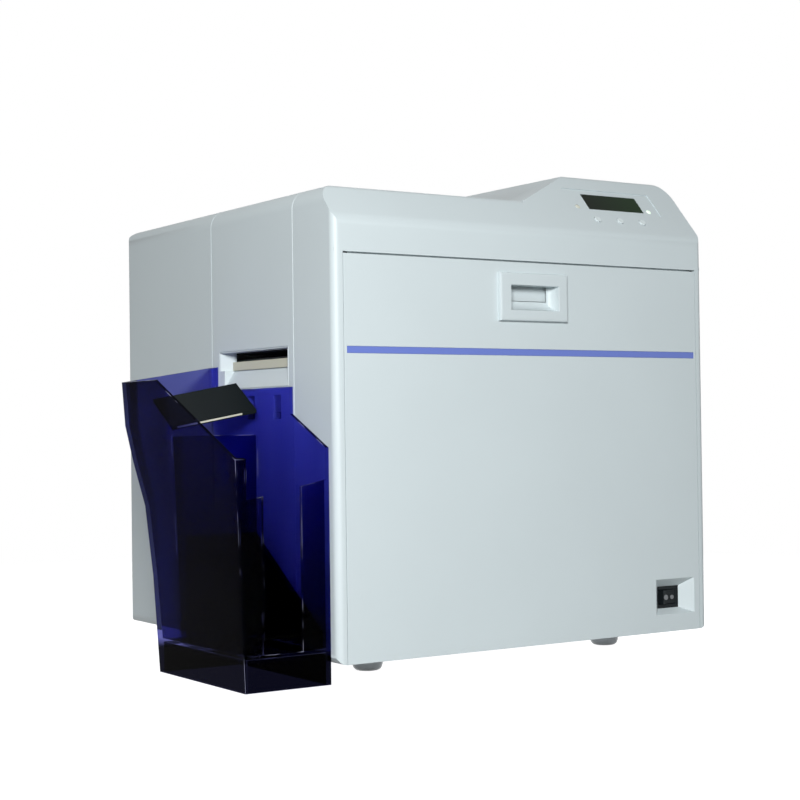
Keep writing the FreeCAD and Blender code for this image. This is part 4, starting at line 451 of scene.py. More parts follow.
class Look(Nodes):
    """One procedural material: a Principled surface and the nodes that feed it."""

    def __init__(self, name, **values):
        material = bpy.data.materials.new(name)
        material.use_nodes = True
        super().__init__(material.node_tree, "OutputMaterial")
        self.sockets = self.new("BsdfPrincipled")
        self.surface = Number(self, self.sockets.outputs[0])
        self.show(self.surface)
        for key, value in values.items():
            self.set(key.replace("_", " ").title().replace("Ior", "IOR"), value)
        looks[name] = material

    def set(self, socket, value):
        self.feed(self.sockets.inputs[socket], value)

    def place(self):
        return self.node("TexCoord", {}, "Object")

    def parts(self, coordinates):
        """The three parts of a place or a direction, each as a number."""
        node = self.new("SeparateXYZ")
        self.feed(node.inputs[0], self.node("TexCoord", {}, coordinates))
        return [Number(self, socket) for socket in node.outputs]

    def squareness(self):
        """1 on faces that lie square to an axis, less on slopes and rounded edges."""
        x, y, z = [part.math("ABSOLUTE", part) for part in self.parts("Normal")]
        return x.most(y).most(z)

    def scaled_place(self, *factors):
        inputs = {0: self.place(), 1: factors}
        return self.node("VectorMath", inputs, operation="MULTIPLY")

    def noise(self, scale, detail=2.0, rough=0.5, place=None):
        place = place or self.place()
        inputs = {"Vector": place, "Scale": scale, "Detail": detail, "Roughness": rough}
        return self.node("TexNoise", inputs)

    def between(self, share, *colors):
        """A colour between two, by share."""
        ends = [end if isinstance(end, Number) else tuple(end) + (1.0,) for end in colors]
        inputs = {0: share, 6: ends[0], 7: ends[1]}
        return self.node("Mix", inputs, 2, data_type="RGBA", blend_type="MIX")

    def color(self, share, *colors):
        self.set("Base Color", self.between(share, *colors))

    def glow(self, share, color):
        self.set("Emission Color", self.between(share, BLACK, color))

    def bump(self, height, strength, distance):
        inputs = {"Strength": strength, "Distance": distance * MM, "Height": height}
        self.set("Normal", self.node("Bump", inputs))


def shade(color, factor):
    return tuple(min(1.0, channel * factor) for channel in color)


def distance(across, up):
    square = across * across + up * up
    return square.math("SQRT", square)


def plastic(name, color, roughness, relief=0.25, **values):
    """Moulded plastic with a fine grain and a hint of mottle."""
    look = Look(name, **values)
    broad = look.noise(11.0, 3.0)
    fine = look.noise(900.0, 2.0)
    look.color(broad, shade(color, 0.97), shade(color, 1.03))
    look.set("Roughness", roughness - 0.05 + fine * 0.08 + broad * 0.02)
    look.bump(fine, relief, 0.06)


def rubber(name, color, roughness, grain=1400.0, **values):
    """Rubber with a dusty bloom."""
    look = Look(name, specular_ior_level=0.35, **values)
    fine = look.noise(grain, 3.0, 0.7)
    dust = look.noise(38.0, 4.0, 0.6)
    look.color(dust, shade(color, 0.85), shade(color, 1.3))
    look.set("Roughness", roughness - 0.08 + dust * 0.16)
    look.bump(fine, 0.35, 0.08)


def metal(name, color, roughness, grain, relief=0.12, spangle=0.0):
    """Metal with fine marks: grain holds how close they lie along each axis."""
    look = Look(name, metallic=1.0)
    marks = look.noise(1.0, 2.0, 0.6, look.scaled_place(*grain))
    tone = look.noise(14.0, 3.0)
    if spangle:
        cells = look.node("TexVoronoi", {"Vector": look.place(), "Scale": spangle}, 1)
        tone = look.node("RGBToBW", {0: cells})
    look.color(tone, shade(color, 0.9), shade(color, 1.06))
    look.set("Roughness", roughness - 0.06 + marks * 0.08 + tone * 0.08)
    look.bump(marks, relief, 0.05)


def tinted_glass(name, tint, roughness):
    """Deep coloured see-through plastic with painted shade: darker low down, near black in its
    base, with dark lines on its edges and rims; painted glints glow on its edges.
    """
    look = Look(
        name,
        transmission_weight=1.0,
        ior=1.03,
        specular_ior_level=0.2,
        coat_weight=0.012,
        coat_roughness=0.08,
        emission_strength=1.0,
    )
    flow = look.noise(1.0, 2.0, 0.5, look.scaled_place(18.0, 26.0, 7.0))
    # Painted glints: noise spots that pick out short stretches of the edges.
    painted_glints = ((look.noise(52.0, 1.0) - 0.54) * 12.0).clipped()
    clearness_with_painted_shade, ramp, base, rim = hopper_zones(look)
    # Painted shade: edges off the ramp get a near-black tint, as dark lines.
    edge = ((0.90 - look.squareness()) * 12.0).clipped() * (1.0 - ramp)
    clear = look.between(clearness_with_painted_shade * (0.85 + flow * 0.3), shade(tint, 0.02), shade(tint, 1.6))
    # Painted shade: the edges and the top rims take a near-black tint.
    look.color(edge.most(rim) * 0.97, clear, shade(tint, 0.004))
    # Painted glints glow pale blue on the spotted edges, and on every edge in the base.
    look.glow(edge * painted_glints.most(base), (0.62, 0.66, 0.92))
    look.set("Roughness", roughness + flow * 0.03)
    look.bump(flow, 0.05, 0.4)


def hopper_zones(look):
    """How clear each place of the hopper is, with painted shade: darker low down, near black in
    the base, darker on the ramp and on the outer wall, whose back is darker high up and lighter
    low down; and masks for its ramp, its base and its rim.
    """
    low, high = span("hopper_shell")
    ramp_low, ramp_high = span("hopper_ramp")
    x, y, z = look.parts("Object")
    slack, wall, step, depth, lift = mm(0.3, 0.8, 6.0, 12.0, 4.0)
    height = ((z - low.z) / (high.z - low.z)).clipped()
    above_base = ((z - ramp_low.z) / step + 1.0).clipped()
    outer = ((ramp_low.x - x) / wall).clipped()
    behind = ((y - ramp_high.y) / depth).clipped()
    # Painted shade: the tint is darker low down, and near black in the base below the ramp.
    share = (0.28 + height * 0.55) * above_base
    # Painted shade on the outer wall: darker all over, and toward the back darker high up and
    # lighter low down.
    share = share * (1.0 - outer * (0.36 + behind * (height * 1.1 - 0.55)))
    inside = [
        value.over(ramp_low[axis] - slack) * (ramp_high[axis] + slack - value).over(0.0)
        for axis, value in enumerate((x, y, z))
    ]
    ramp = inside[0] * inside[1] * inside[2]
    # The rim mask marks the top faces that get painted dark lines.
    rim = look.parts("Normal")[2].over(0.6) * z.over(ramp_high.z + lift)
    # Painted shade: the ramp is half as clear.
    return (share * (1.0 - ramp * 0.50)).clipped(), ramp, 1.0 - above_base, rim


def display_glass(name, color):
    """A dark display under clear glass, a little greener toward its right end."""
    look = Look(name, coat_weight=0.02, coat_roughness=0.04, specular_ior_level=0.03)
    low, high = span("lcd_window")
    along = ((look.parts("Object")[0] - low.x) / (high.x - low.x)).clipped()
    dots = look.noise(700.0, 1.0)
    look.color(along, color, (color[0] * 1.1, color[1] * 2.2, color[2]))
    look.set("Roughness", 0.16 + dots * 0.05)
    look.bump(dots, 0.05, 0.02)


def lens(name, off, lit, strength):
    """Two indicator lenses: the left one is off, the right one is lit."""
    look = Look(name, coat_weight=0.2, coat_roughness=0.08, emission_strength=strength)
    haze = look.noise(900.0, 2.0)
    right = look.parts("Object")[0].over(middle("lcd_window").x)
    look.color(haze * 0.15, look.between(right, off, lit), (0.5, 0.5, 0.5))
    look.glow(right, lit)
    look.set("Roughness", 0.2 + haze * 0.1)


def board(name, color):
    """Circuit board varnish over a net of fine copper tracks."""
    look = Look(name, coat_weight=0.4, coat_roughness=0.2)
    inputs = {"Vector": look.place(), "Scale": 240.0, "Randomness": 0.25}
    cells = look.node("TexVoronoi", inputs, feature="DISTANCE_TO_EDGE")
    track = (0.06 - cells).over(0.0)
    blotch = look.noise(30.0, 3.0)
    look.color(track, color, look.between(blotch, (0.10, 0.34, 0.14), (0.16, 0.40, 0.18)))
    look.set("Roughness", 0.42 - track * 0.1 + blotch * 0.06)
    look.bump(track, 0.3, 0.04)


def wound_film(name, color, edge, web):
    """Wound film: fine rings on its ends, about whichever spool is nearest."""
    look = Look(name, coat_weight=0.7, coat_roughness=0.12)
    layer = 1.1 * MM
    x, _, z = look.parts("Object")
    centres = [middle("%s_%s_roll" % (web, place)) for place in ("supply", "takeup")]
    first, last = [distance(x - centre.x, z - centre.z) for centre in centres]
    turns = first.least(last) * (math.tau / layer)
    rings = turns.math("SINE", turns) * 0.5 + 0.5
    look.color(rings, color, edge)
    look.set("Roughness", 0.22 + rings * 0.12)
    look.bump(rings, 0.2, 0.06)


def make_looks():
    """One material for each slot of the record."""
    shell = (0.585, 0.660, 0.680)
    plastic("shell_plastic", shell, 0.46, specular_ior_level=0.35)
    plastic("door_plastic", shell, 0.44, specular_ior_level=0.35)
    plastic("stripe_blue", (0.130, 0.190, 0.560), 0.30, 0.08)
    tinted_glass("hopper_blue", (0.150, 0.155, 0.50), 0.02)
    plastic("deflector_black", (0.009, 0.012, 0.013), 0.34, 0.15, specular_ior_level=0.04)
    plastic("exit_plastic", (0.600, 0.675, 0.695), 0.42)
    plastic("lip_beige", (0.560, 0.560, 0.440), 0.5, 0.4)
    rubber("foot_rubber", (0.46, 0.50, 0.52), 0.4, coat_weight=0.5, coat_roughness=0.12)
    metal("zinc_steel", (0.62, 0.63, 0.64), 0.34, (400, 400, 40), spangle=260.0)
    metal("shaft_steel", (0.70, 0.70, 0.71), 0.20, (1600, 20, 1600))
    metal("plate_steel", (0.55, 0.57, 0.59), 0.38, (60, 60, 60), spangle=170.0)
    plastic("liner_plastic", (0.42, 0.46, 0.48), 0.5, 0.5)
    plastic("inner_grey", (0.030, 0.036, 0.042), 0.5, 0.5, specular_ior_level=0.15)
    plastic("inner_black", (0.009, 0.012, 0.014), 0.42, 0.4, specular_ior_level=0.12)
    rubber("roller_rubber", (0.030, 0.030, 0.033), 0.8)
    rubber("roller_grey", (0.13, 0.135, 0.14), 0.7)
    rubber("belt_rubber", (0.014, 0.014, 0.016), 0.66, 2200.0)
    plastic("gear_plastic", (0.72, 0.69, 0.58), 0.36, subsurface_weight=0.05)
    metal("motor_metal", (0.42, 0.43, 0.45), 0.42, (900, 900, 900), 0.3)
    metal("psu_metal", (0.60, 0.61, 0.62), 0.36, (30, 900, 900))
    board("board_green", (0.010, 0.085, 0.030))
    display_glass("lcd_glass", (0.010, 0.014, 0.010))
    lens("led_clear", (0.60, 0.62, 0.52), (0.80, 0.95, 0.80), 0.35)
    plastic("button_plastic", (0.66, 0.74, 0.755), 0.4)
    wound_film("film_clear", (0.62, 0.62, 0.56), (0.46, 0.46, 0.42), "film")
    wound_film("ribbon_dark", (0.030, 0.010, 0.028), (0.075, 0.03, 0.07), "ribbon")
    plastic("spool_plastic", (0.52, 0.52, 0.50), 0.42)
    plastic("cassette_blue", (0.040, 0.075, 0.165), 0.42, 0.45)
    plastic("cassette_grey", (0.15, 0.16, 0.17), 0.44, 0.45)
    for node, piece in frame["nodes"].items():
        piece.data.materials.clear()
        piece.data.materials.append(looks[NODE_SLOTS[node]])


# Settings


def setting(kind, name, description, default, low, high, **values):
    return kind(name=name, description=description, default=default, min=low, max=high, **values)


def rounding(name, description, default):
    """A small length, given in millimetres."""
    values = {"unit": "LENGTH", "subtype": "DISTANCE", "precision": 5}
    return setting(FloatProperty, name, description, default * MM, 0.0, 0.5, **values)


def count(name, description, default, low, high):
    return setting(IntProperty, name, description, default, low, high)


def power(name, description, default):
    return setting(FloatProperty, name, description, default, 0.0, 1000.0, unit="POWER")


def factor(name, description, default, high):
    return setting(FloatProperty, name, description, default, 0.0, high, subtype="FACTOR")


class PrinterSettings(bpy.types.PropertyGroup):
    """Sizes of the looks that the CAD frame doesn't give"""

    cover_edge: rounding("Cover edge", "Rounding of the housing's edges", 0.6)
    door_edge: rounding("Door edge", "Rounding of the door's edges", 1.1)
    small_edge: rounding("Small edge", "Rounding of small moulded parts", 0.3)
    sheet_edge: rounding("Sheet edge", "Rounding of sheet metal edges", 0.25)
    hopper_edge: rounding("Hopper edge", "Rounding of the hopper's edges", 0.7)
    handle_chamfer: rounding("Handle chamfer", "Chamfer round the handle bezel", 1.9)
    scoop_steps: count("Scoop steps", "Steps of the handle's scoop", 9, 3, 32)
    roll_bands: count("Roll bands", "Bands on a wound roll's end", 14, 4, 60)
    liner_rows: count("Liner rows", "Cross ribs on the door's liner", 4, 2, 12)
    rib_count: count("Rib count", "Ribs on each cassette's front plate", 6, 2, 20)
    lathe_steps: count("Lathe steps", "Sides of a large turned part", 64, 12, 256)
    camera_lens: setting(
        FloatProperty, "Lens", "Focal length of the camera", 75.0, 10.0, 300.0, unit="CAMERA"
    )
    camera_place: FloatVectorProperty(
        name="Camera place",
        description="Where the camera stands",
        default=(-0.72362, -1.14581, 0.17656),
        subtype="TRANSLATION",
        unit="LENGTH",
    )
    camera_turn: FloatVectorProperty(
        name="Camera turn",
        description="Yaw, pitch and roll of the camera",
        default=(math.radians(33.44), math.radians(0.919), math.radians(-0.739)),
        subtype="EULER",
        unit="ROTATION",
    )
    key_power: power("Key power", "Power of the large front light in watts", 25.5)
    top_power: power("Top power", "Power of the soft light overhead in watts", 0.4)
    back_power: power("Back power", "Power of the light behind in watts", 28.0)
    floor_glow: factor("Floor glow", "How much light the white floor adds", 0.95, 2.0)
    fill_level: factor("Fill level", "Strength of the light from all round", 0.09, 4.0)


def settings():
    return bpy.context.scene.card_printer


# Pieces


class Step:
    """What all build steps share."""

    bl_options = {"REGISTER", "UNDO"}


class CARDPRINTER_OT_housing(Step, bpy.types.Operator):
    """Build the three housing covers, and what is moulded inside them"""

    bl_idname = "card_printer.housing"
    bl_label = "Housing covers"

    def execute(self, context):
        stand_for(settings().cover_edge, 2, "front_frame", "middle_cover", "rear_cover")
        self.gap_tongue()
        self.pockets()
        return {"FINISHED"}

    def gap_tongue(self):
        """A strip that hangs from the brow behind the gap over the door."""
        low, high = span("front_door")
        setback, inset, clear, reach, thick = mm(3.0, 5.0, 0.4, 3.0, 1.5)
        front = low.y + setback
        start = (low.x + inset, front, high.z + clear)
        end = (high.x - inset, front + thick, high.z + reach)
        tongue = soften(cuboid("door_gap_tongue", start, end), 0.3 * MM)
        finish_piece(tongue, "shell_plastic", "printer")

    def pockets(self):
        """A moulded cup behind each slot that a hanger of the hopper hooks into."""
        wall, front, bottom, wide, tall, deep, thick, pitch = mm(
            2.8, -100.5, 172.0, 16.0, 32.0, 9.0, 1.2, 40.0
        )
        low = Vector((span("middle_cover")[0].x + wall, front, bottom))
        pocket = cuboid("hanger_pockets", low, low + Vector((deep, wide, tall)))
        with editing(pocket):
            pick(pocket, lambda place, normal: normal.x < -FACING)
            bpy.ops.mesh.inset(thickness=thick)
            extrude(x=deep - thick)
            tidy_faces()
        soften(pocket, 0.3 * MM)
        both = with_copies("hanger_pockets", pocket, [(0, pitch, 0)])
        finish_piece(both, "shell_plastic", "printer")


class CARDPRINTER_OT_door(Step, bpy.types.Operator):
    """Build the front door's skin, liner and stripe"""

    bl_idname = "card_printer.door"
    bl_label = "Front door"

    def execute(self, context):
        stand_for(settings().door_edge, 3, "front_door")
        stand_for(settings().small_edge, 2, "door_liner")
        self.liner_ribs()
        trim_bar("door_stripe", 1, 0.25 * MM, 2)
        return {"FINISHED"}

    def liner_ribs(self):
        """A grid of shallow stiffening ribs on the liner's inner face."""
        low, high = span("door_liner")
        face = self.inner_face()
        half, rise, sunk, edge = mm(1.0, 2.4, 0.3, 0.5)
        inset_left, inset_right, inset_bottom, inset_top = mm(14.0, 22.0, 30.0, 62.0)
        left, right = low.x + inset_left, high.x - inset_right
        bottom, top = low.z + inset_bottom, high.z - inset_top
        gaps = settings().liner_rows - 1
        rows = [bottom + (top - bottom) * number / gaps for number in range(gaps + 1)]
        bars = [(left, right, z - half, z + half) for z in rows]
        bars += [(x - half, x + half, bottom - half, top + half) for x in (left, right)]
        ribs = []
        for start, end, under, over in bars:
            rib = cuboid("rib", (start, face - sunk, under), (end, face + rise, over))
            ribs.append(soften(rib, edge))
        finish_piece(joined("liner_ribs", *ribs), "liner_plastic", "door")

    def inner_face(self):
        """How far back the liner's flat inner face lies: most of its area is there."""
        areas = {}
        for face in frame["nodes"]["door_liner"].data.polygons:
            if face.normal.y > 0.99:
                level = round(face.center.y, 5)
                areas[level] = areas.get(level, 0.0) + face.area
        return max(areas, key=areas.get)


class CARDPRINTER_OT_handle(Step, bpy.types.Operator):
    """Build the handle bezel with its finger scoop, and the latch behind it"""

    bl_idname = "card_printer.handle"
    bl_label = "Door handle and latch"

    def execute(self, context):
        low, high = span("handle_bezel")
        left, right, bottom, top, wall, gap = mm(10.0, 8.7, 8.0, 26.3, 2.0, 0.4)
        wide = (low.x + left, high.x - right)
        tall = (low.z + bottom, low.z + top)
        front, seat, back = low.y, span("front_door")[0].y, high.y - gap
        bezel = cuboid("handle_bezel_look", low, (high.x, seat, high.z))
        with editing(bezel):
            for x in (wide[0] - wall, *wide, wide[1] + wall):
                cut_across((x, 0, 0), (1, 0, 0))
            for z in (tall[0] - wall, *tall, tall[1] + wall):
                cut_across((0, 0, z), (0, 0, 1))
            pick(
                bezel,
                lambda place, normal: normal.y > FACING and within(place, wide, tall, wall),
            )
            extrude(y=back - seat)
            self.scoop(bezel, wide, tall, front, back)
            self.round_rim(bezel, front, (low.x, high.x), (low.z, high.z))
            bevel(settings().handle_chamfer, 4, 0.6)
            self.round_rim(bezel, front, wide, tall)
            bevel(0.5 * MM)
            tidy_faces()
        finish_node(bezel, "handle_bezel", 28)
        self.paddle(wide)
        stand_for(settings().sheet_edge, 2, "latch_shaft", "latch_hooks")
        return {"FINISHED"}

    def scoop(self, bezel, wide, tall, front, back):
        """The mouth sinks in steps along a quarter ellipse, and opens to the paddle behind."""
        near, slack, rise, left_draw, right_draw, rest = mm(0.02, 0.1, 7.0, 2.0, 5.5, 0.5)
        steps = settings().scoop_steps
        centre_x, centre_z = sum(wide) / 2, sum(tall) / 2
        depth = back - rest - front
        moves = (
            (lambda place: place.z < centre_z, (0, 0, rise)),
            (lambda place: place.x > centre_x, (-right_draw, 0, 0)),
            (lambda place: place.x < centre_x, (left_draw, 0, 0)),
        )

        def mouth(*levels):
            """Picks the faces across the mouth at some levels."""
            pick(
                bezel,
                lambda place, normal: abs(normal.y) > FACING
                and within(place, wide, tall)
                and min(abs(place.y - level) for level in levels) < near,
            )

        level, sunk, drawn = front, 0.0, 0.0
        mouth(level)
        for number in range(1, steps + 1):
            turn = number / steps * math.pi / 2
            deeper, closer = math.sin(turn), 1 - math.cos(turn)
            extrude(y=(deeper - sunk) * depth)
            level = front + deeper * depth
            for test, move in moves:
                pick(
                    bezel,
                    lambda place: abs(place.y - level) < near
                    and within(place, wide, tall, slack)
                    and test(place),
                    "VERT",
                )
                shift(*[part * (closer - drawn) for part in move])
            mouth(level)
            sunk, drawn = deeper, closer
        mouth(level, back)
        bpy.ops.mesh.bridge_edge_loops()

    def round_rim(self, bezel, front, wide, tall):
        """Picks the edges of a rectangle on the bezel's front."""
        near = 0.05 * MM
        pick(
            bezel,
            lambda place: abs(place.y - front) < near
            and within(place, wide, tall, near)
            and not within(place, wide, tall, -near),
            "EDGE",
        )

    def paddle(self, wide):
        """The paddle's look is narrower than its solid, to pass through the scoop's mouth."""
        left, right = mm(2.3, 3.9)
        paddle = copied("latch_paddle")
        with editing(paddle):
            for x, side in ((wide[0] + left, -1), (wide[1] - right, 1)):
                cut_across((x, 0, 0), (side, 0, 0), use_fill=True, clear_outer=True)
        soften(paddle, settings().small_edge, 2, 35)
        finish_node(paddle, "latch_paddle", 35)


class CARDPRINTER_OT_switch(Step, bpy.types.Operator):
    """Build the power switch: its housing, and its rocker with two marks"""

    bl_idname = "card_printer.switch"
    bl_label = "Power switch"

    def execute(self, context):
        stand_for(settings().small_edge, 2, "switch_housing")
        stand_for(0.4 * MM, 3, "power_rocker")
        self.mark("rocker_mark_left", -5.0 * MM, 2.1)
        self.mark("rocker_mark_right", 1.2 * MM, 1.7)
        return {"FINISHED"}

    def mark(self, name, across, radius):
        """A low round dot that sits on the rocker's face."""
        start = front_end("power_rocker") + Vector((across, -0.1 * MM, 0))
        profile = [(0, 0), (0.05, radius * 0.7), (0.2, radius), (0.6, radius), (0.6, 0)]
        piece = lathe(name, start, (0, 1, 0), profile, 24)
        finish_piece(piece, "cassette_grey", NODE_BODIES["power_rocker"], angle=50)


class CARDPRINTER_OT_controls(Step, bpy.types.Operator):
    """Build the display, the indicator lenses, the menu buttons and their board"""

    bl_idname = "card_printer.controls"
    bl_label = "Control panel"

    def execute(self, context):
        stand_for(0.25 * MM, 2, "lcd_window")
        stand_for(0.2 * MM, 1, "control_board")
        for side in ("left", "middle", "right"):
            self.button(side + "_menu_button")
        self.lenses()
        return {"FINISHED"}

    def lenses(self):
        """Two domed lenses that fill the height of their CAD solids."""
        radius = 2.3
        low, high = span("led_lenses")
        tall = (high.z - low.z) / 2 - radius * MM * abs(BROW_OUT.y)
        half = tall / abs(BROW_OUT.z)
        depth = half * 2 / MM
        profile = [(0, 0), (0.06, radius * 0.35), (0.22, radius * 0.66), (0.5, radius * 0.9)]
        profile += [(0.85, radius), (depth, radius), (depth, 0)]
        lenses = []
        for x in (low.x + radius * MM, high.x - radius * MM):
            top = Vector((x, *middle("led_lenses").yz)) + BROW_OUT * half
            lenses.append(lathe("led_lens", top, -BROW_OUT, profile, 32))
        finish_node(joined("led_lenses_look", *lenses), "led_lenses", 40)

    def button(self, node):
        """A round cap with a shallow dish, its flange and its stem."""
        cap, flange, stem = 2.9, 4.2, 1.5
        centre = middle(node)
        corners = [corner.co for corner in frame["nodes"][node].data.vertices]
        heights = [(corner - centre).dot(BROW_OUT) for corner in corners]
        front, back = max(heights), min(heights)
        crown = [corner for corner, height in zip(corners, heights) if height > front - 0.01 * MM]
        face = sum(crown, Vector()) / len(crown)
        depth = (front - back) / MM
        profile = [(0.22, 0), (0.2, cap * 0.3), (0.1, cap * 0.62), (0, cap * 0.8)]
        profile += [(0.06, cap * 0.92), (0.3, cap), (2.2, cap), (2.2, flange)]
        profile += [(3.3, flange), (3.3, stem), (depth, stem), (depth, 0)]
        top = (centre.x, face.y, face.z)
        finish_node(lathe(node + "_look", top, -BROW_OUT, profile, 40), node, 40)


class CARDPRINTER_OT_card_exit(Step, bpy.types.Operator):
    """Build the card exit in the left side"""

    bl_idname = "card_printer.card_exit"
    bl_label = "Card exit"

    def execute(self, context):
        stand_for(settings().small_edge, 2, "exit_bezel")
        trim_bar("exit_lip", 0, 0.5 * MM, 3)
        return {"FINISHED"}


class CARDPRINTER_OT_hopper(Step, bpy.types.Operator):
    """Build the see-through card hopper, its ramp and its deflector"""

    bl_idname = "card_printer.hopper"
    bl_label = "Card hopper"

    def execute(self, context):
        stand_for(settings().hopper_edge, 3, "hopper_shell", "hopper_ramp")
        stand_for(settings().small_edge, 3, "card_deflector")
        self.strip()
        return {"FINISHED"}

    def strip(self):
        """A pale strip along the lower front edge of the sloping deflector: a painted highlight
        on that edge.
        """
        low, high = span("card_deflector")
        rise, out, sunk, under, over, inset_left, inset_right = mm(
            12.0, 0.3, 0.4, 0.9, 2.2, 4.0, 12.0
        )
        left, right = low.x + inset_left, high.x - inset_right
        start = (left, low.y - out, low.z + under)
        # The strip's pale beige colour is a painted highlight.
        strip = cuboid("deflector_strip", start, (right, low.y + sunk, low.z + over))
        with editing(strip, "VERT"):
            for end in (left, right):
                pick(strip, lambda place: abs(place.x - end) < 0.1 * MM, "VERT")
                shift(z=(end - low.x) / (high.x - low.x) * rise)
            select_everything("EDGE")
            bevel(0.15 * MM, 2)
        finish_piece(strip, "lip_beige", "hopper")


class CARDPRINTER_OT_feet(Step, bpy.types.Operator):
    """Build the four round feet, each with its recess"""

    bl_idname = "card_printer.feet"
    bl_label = "Feet"

    def execute(self, context):
        low, high = span("feet")
        radius, tall = 11.8, (high.z - low.z) / MM
        profile = [(0, 0), (0, 3.2), (1.4, 3.4), (1.4, 6.4), (0, 6.8), (0, radius - 4.6)]
        profile += [(0.4, radius - 3.2), (1.2, radius - 2.1), (2.4, radius - 1.3)]
        profile += [(4.2, radius - 0.7), (tall - 3.0, radius - 0.2), (tall - 2.2, radius)]
        profile += [(tall, radius), (tall, 0)]
        inset = radius * MM
        start = (low.x + inset, low.y + inset, 0)
        first = lathe("foot", start, (0, 0, 1), profile, settings().lathe_steps)
        x, y = high.x - low.x - 2 * inset, high.y - low.y - 2 * inset
        feet = with_copies("feet_look", first, ((x, 0, 0), (0, y, 0), (x, y, 0)))
        finish_node(feet, "feet", 40)
        return {"FINISHED"}


class CARDPRINTER_OT_screws(Step, bpy.types.Operator):
    """Build the four pan-head screws with cross recesses in the back"""

    bl_idname = "card_printer.screws"
    bl_label = "Cover screws"

    def execute(self, context):
        low, high = span("cover_screws")
        head, inner = 3.2, 50.0 * MM
        start = (low.x + head * MM, high.y, (low.z + high.z) / 2)
        first = pan_screw(start, (0, -1, 0), head, (high.y - low.y) / MM)
        outer = (high.x - low.x) / 2 - head * MM
        steps = [(x, 0, 0) for x in (outer - inner, outer + inner, outer * 2)]
        finish_node(with_copies("cover_screws_look", first, steps), "cover_screws")
        return {"FINISHED"}


class CARDPRINTER_OT_rollers(Step, bpy.types.Operator):
    """Build the six rollers on their shafts"""

    bl_idname = "card_printer.rollers"
    bl_label = "Rollers"

    def execute(self, context):
        driving_radius, short_sleeve, long_sleeve = 10.0, (-102.5, -26.5), (-106.5, -20.5)
        for name in ("feed", "pick", "exit"):
            self.roller(name + "_roller", driving_radius, short_sleeve, True)
        for name, radius in (("heat", 14.0), ("counter", 9.0), ("platen", 10.0)):
            self.roller(name + "_roller", radius, long_sleeve, False)
        return {"FINISHED"}

    def roller(self, node, radius, sleeve, belted):
        """A rubber sleeve on a shaft, with a pulley where the belt drives it."""
        low, high = span(node)
        shaft, edge, rim, pulley, belt = 3.0, 0.5, 0.8, 7.0, (11.0, 17.0)
        zero = low.y / MM
        start, end = sleeve[0] - zero, sleeve[1] - zero
        profile = [(0, 0), (0, shaft - edge), (edge, shaft), (start, shaft)]
        profile += [(start, radius - rim), (start + rim * 0.3, radius - rim * 0.3)]
        profile += [(start + rim, radius), (end - rim, radius)]
        profile += [(end - rim * 0.3, radius - rim * 0.3), (end, radius - rim), (end, shaft)]
        if belted:
            near, far = belt[0] - zero, belt[1] - zero
            profile += [(near, shaft), (near, pulley), (far, pulley), (far, shaft)]
        tail = high.y / MM - zero
        profile += [(tail - edge, shaft), (tail, shaft - edge), (tail, 0)]
        turned(node, profile, 32)


class CARDPRINTER_OT_spools(Step, bpy.types.Operator):
    """Build the wound film and ribbon on their cores"""

    bl_idname = "card_printer.spools"
    bl_label = "Film and ribbon spools"

    def execute(self, context):
        for web in ("film", "ribbon"):
            for place in ("supply", "takeup"):
                self.roll("%s_%s_roll" % (web, place))
                stand_for(settings().small_edge, 2, "%s_%s_core" % (web, place))
        return {"FINISHED"}

    def roll(self, node):
        """Wound film: its ends step in and out a little, as layers do."""
        low, high = span(node)
        core, radius, tall = 12.0, (high.x - low.x) / 2 / MM, (high.y - low.y) / MM
        levels = (0.0, 0.35, 0.1, 0.5, 0.2, 0.4, 0.05, 0.3)
        bands = settings().roll_bands
        profile = [
            (levels[number % len(levels)], core + (radius - core) * number / bands)
            for number in range(bands + 1)
        ]
        profile += [(tall - along, out) for along, out in reversed(profile)]
        turned(node, profile + profile[:1], 40)


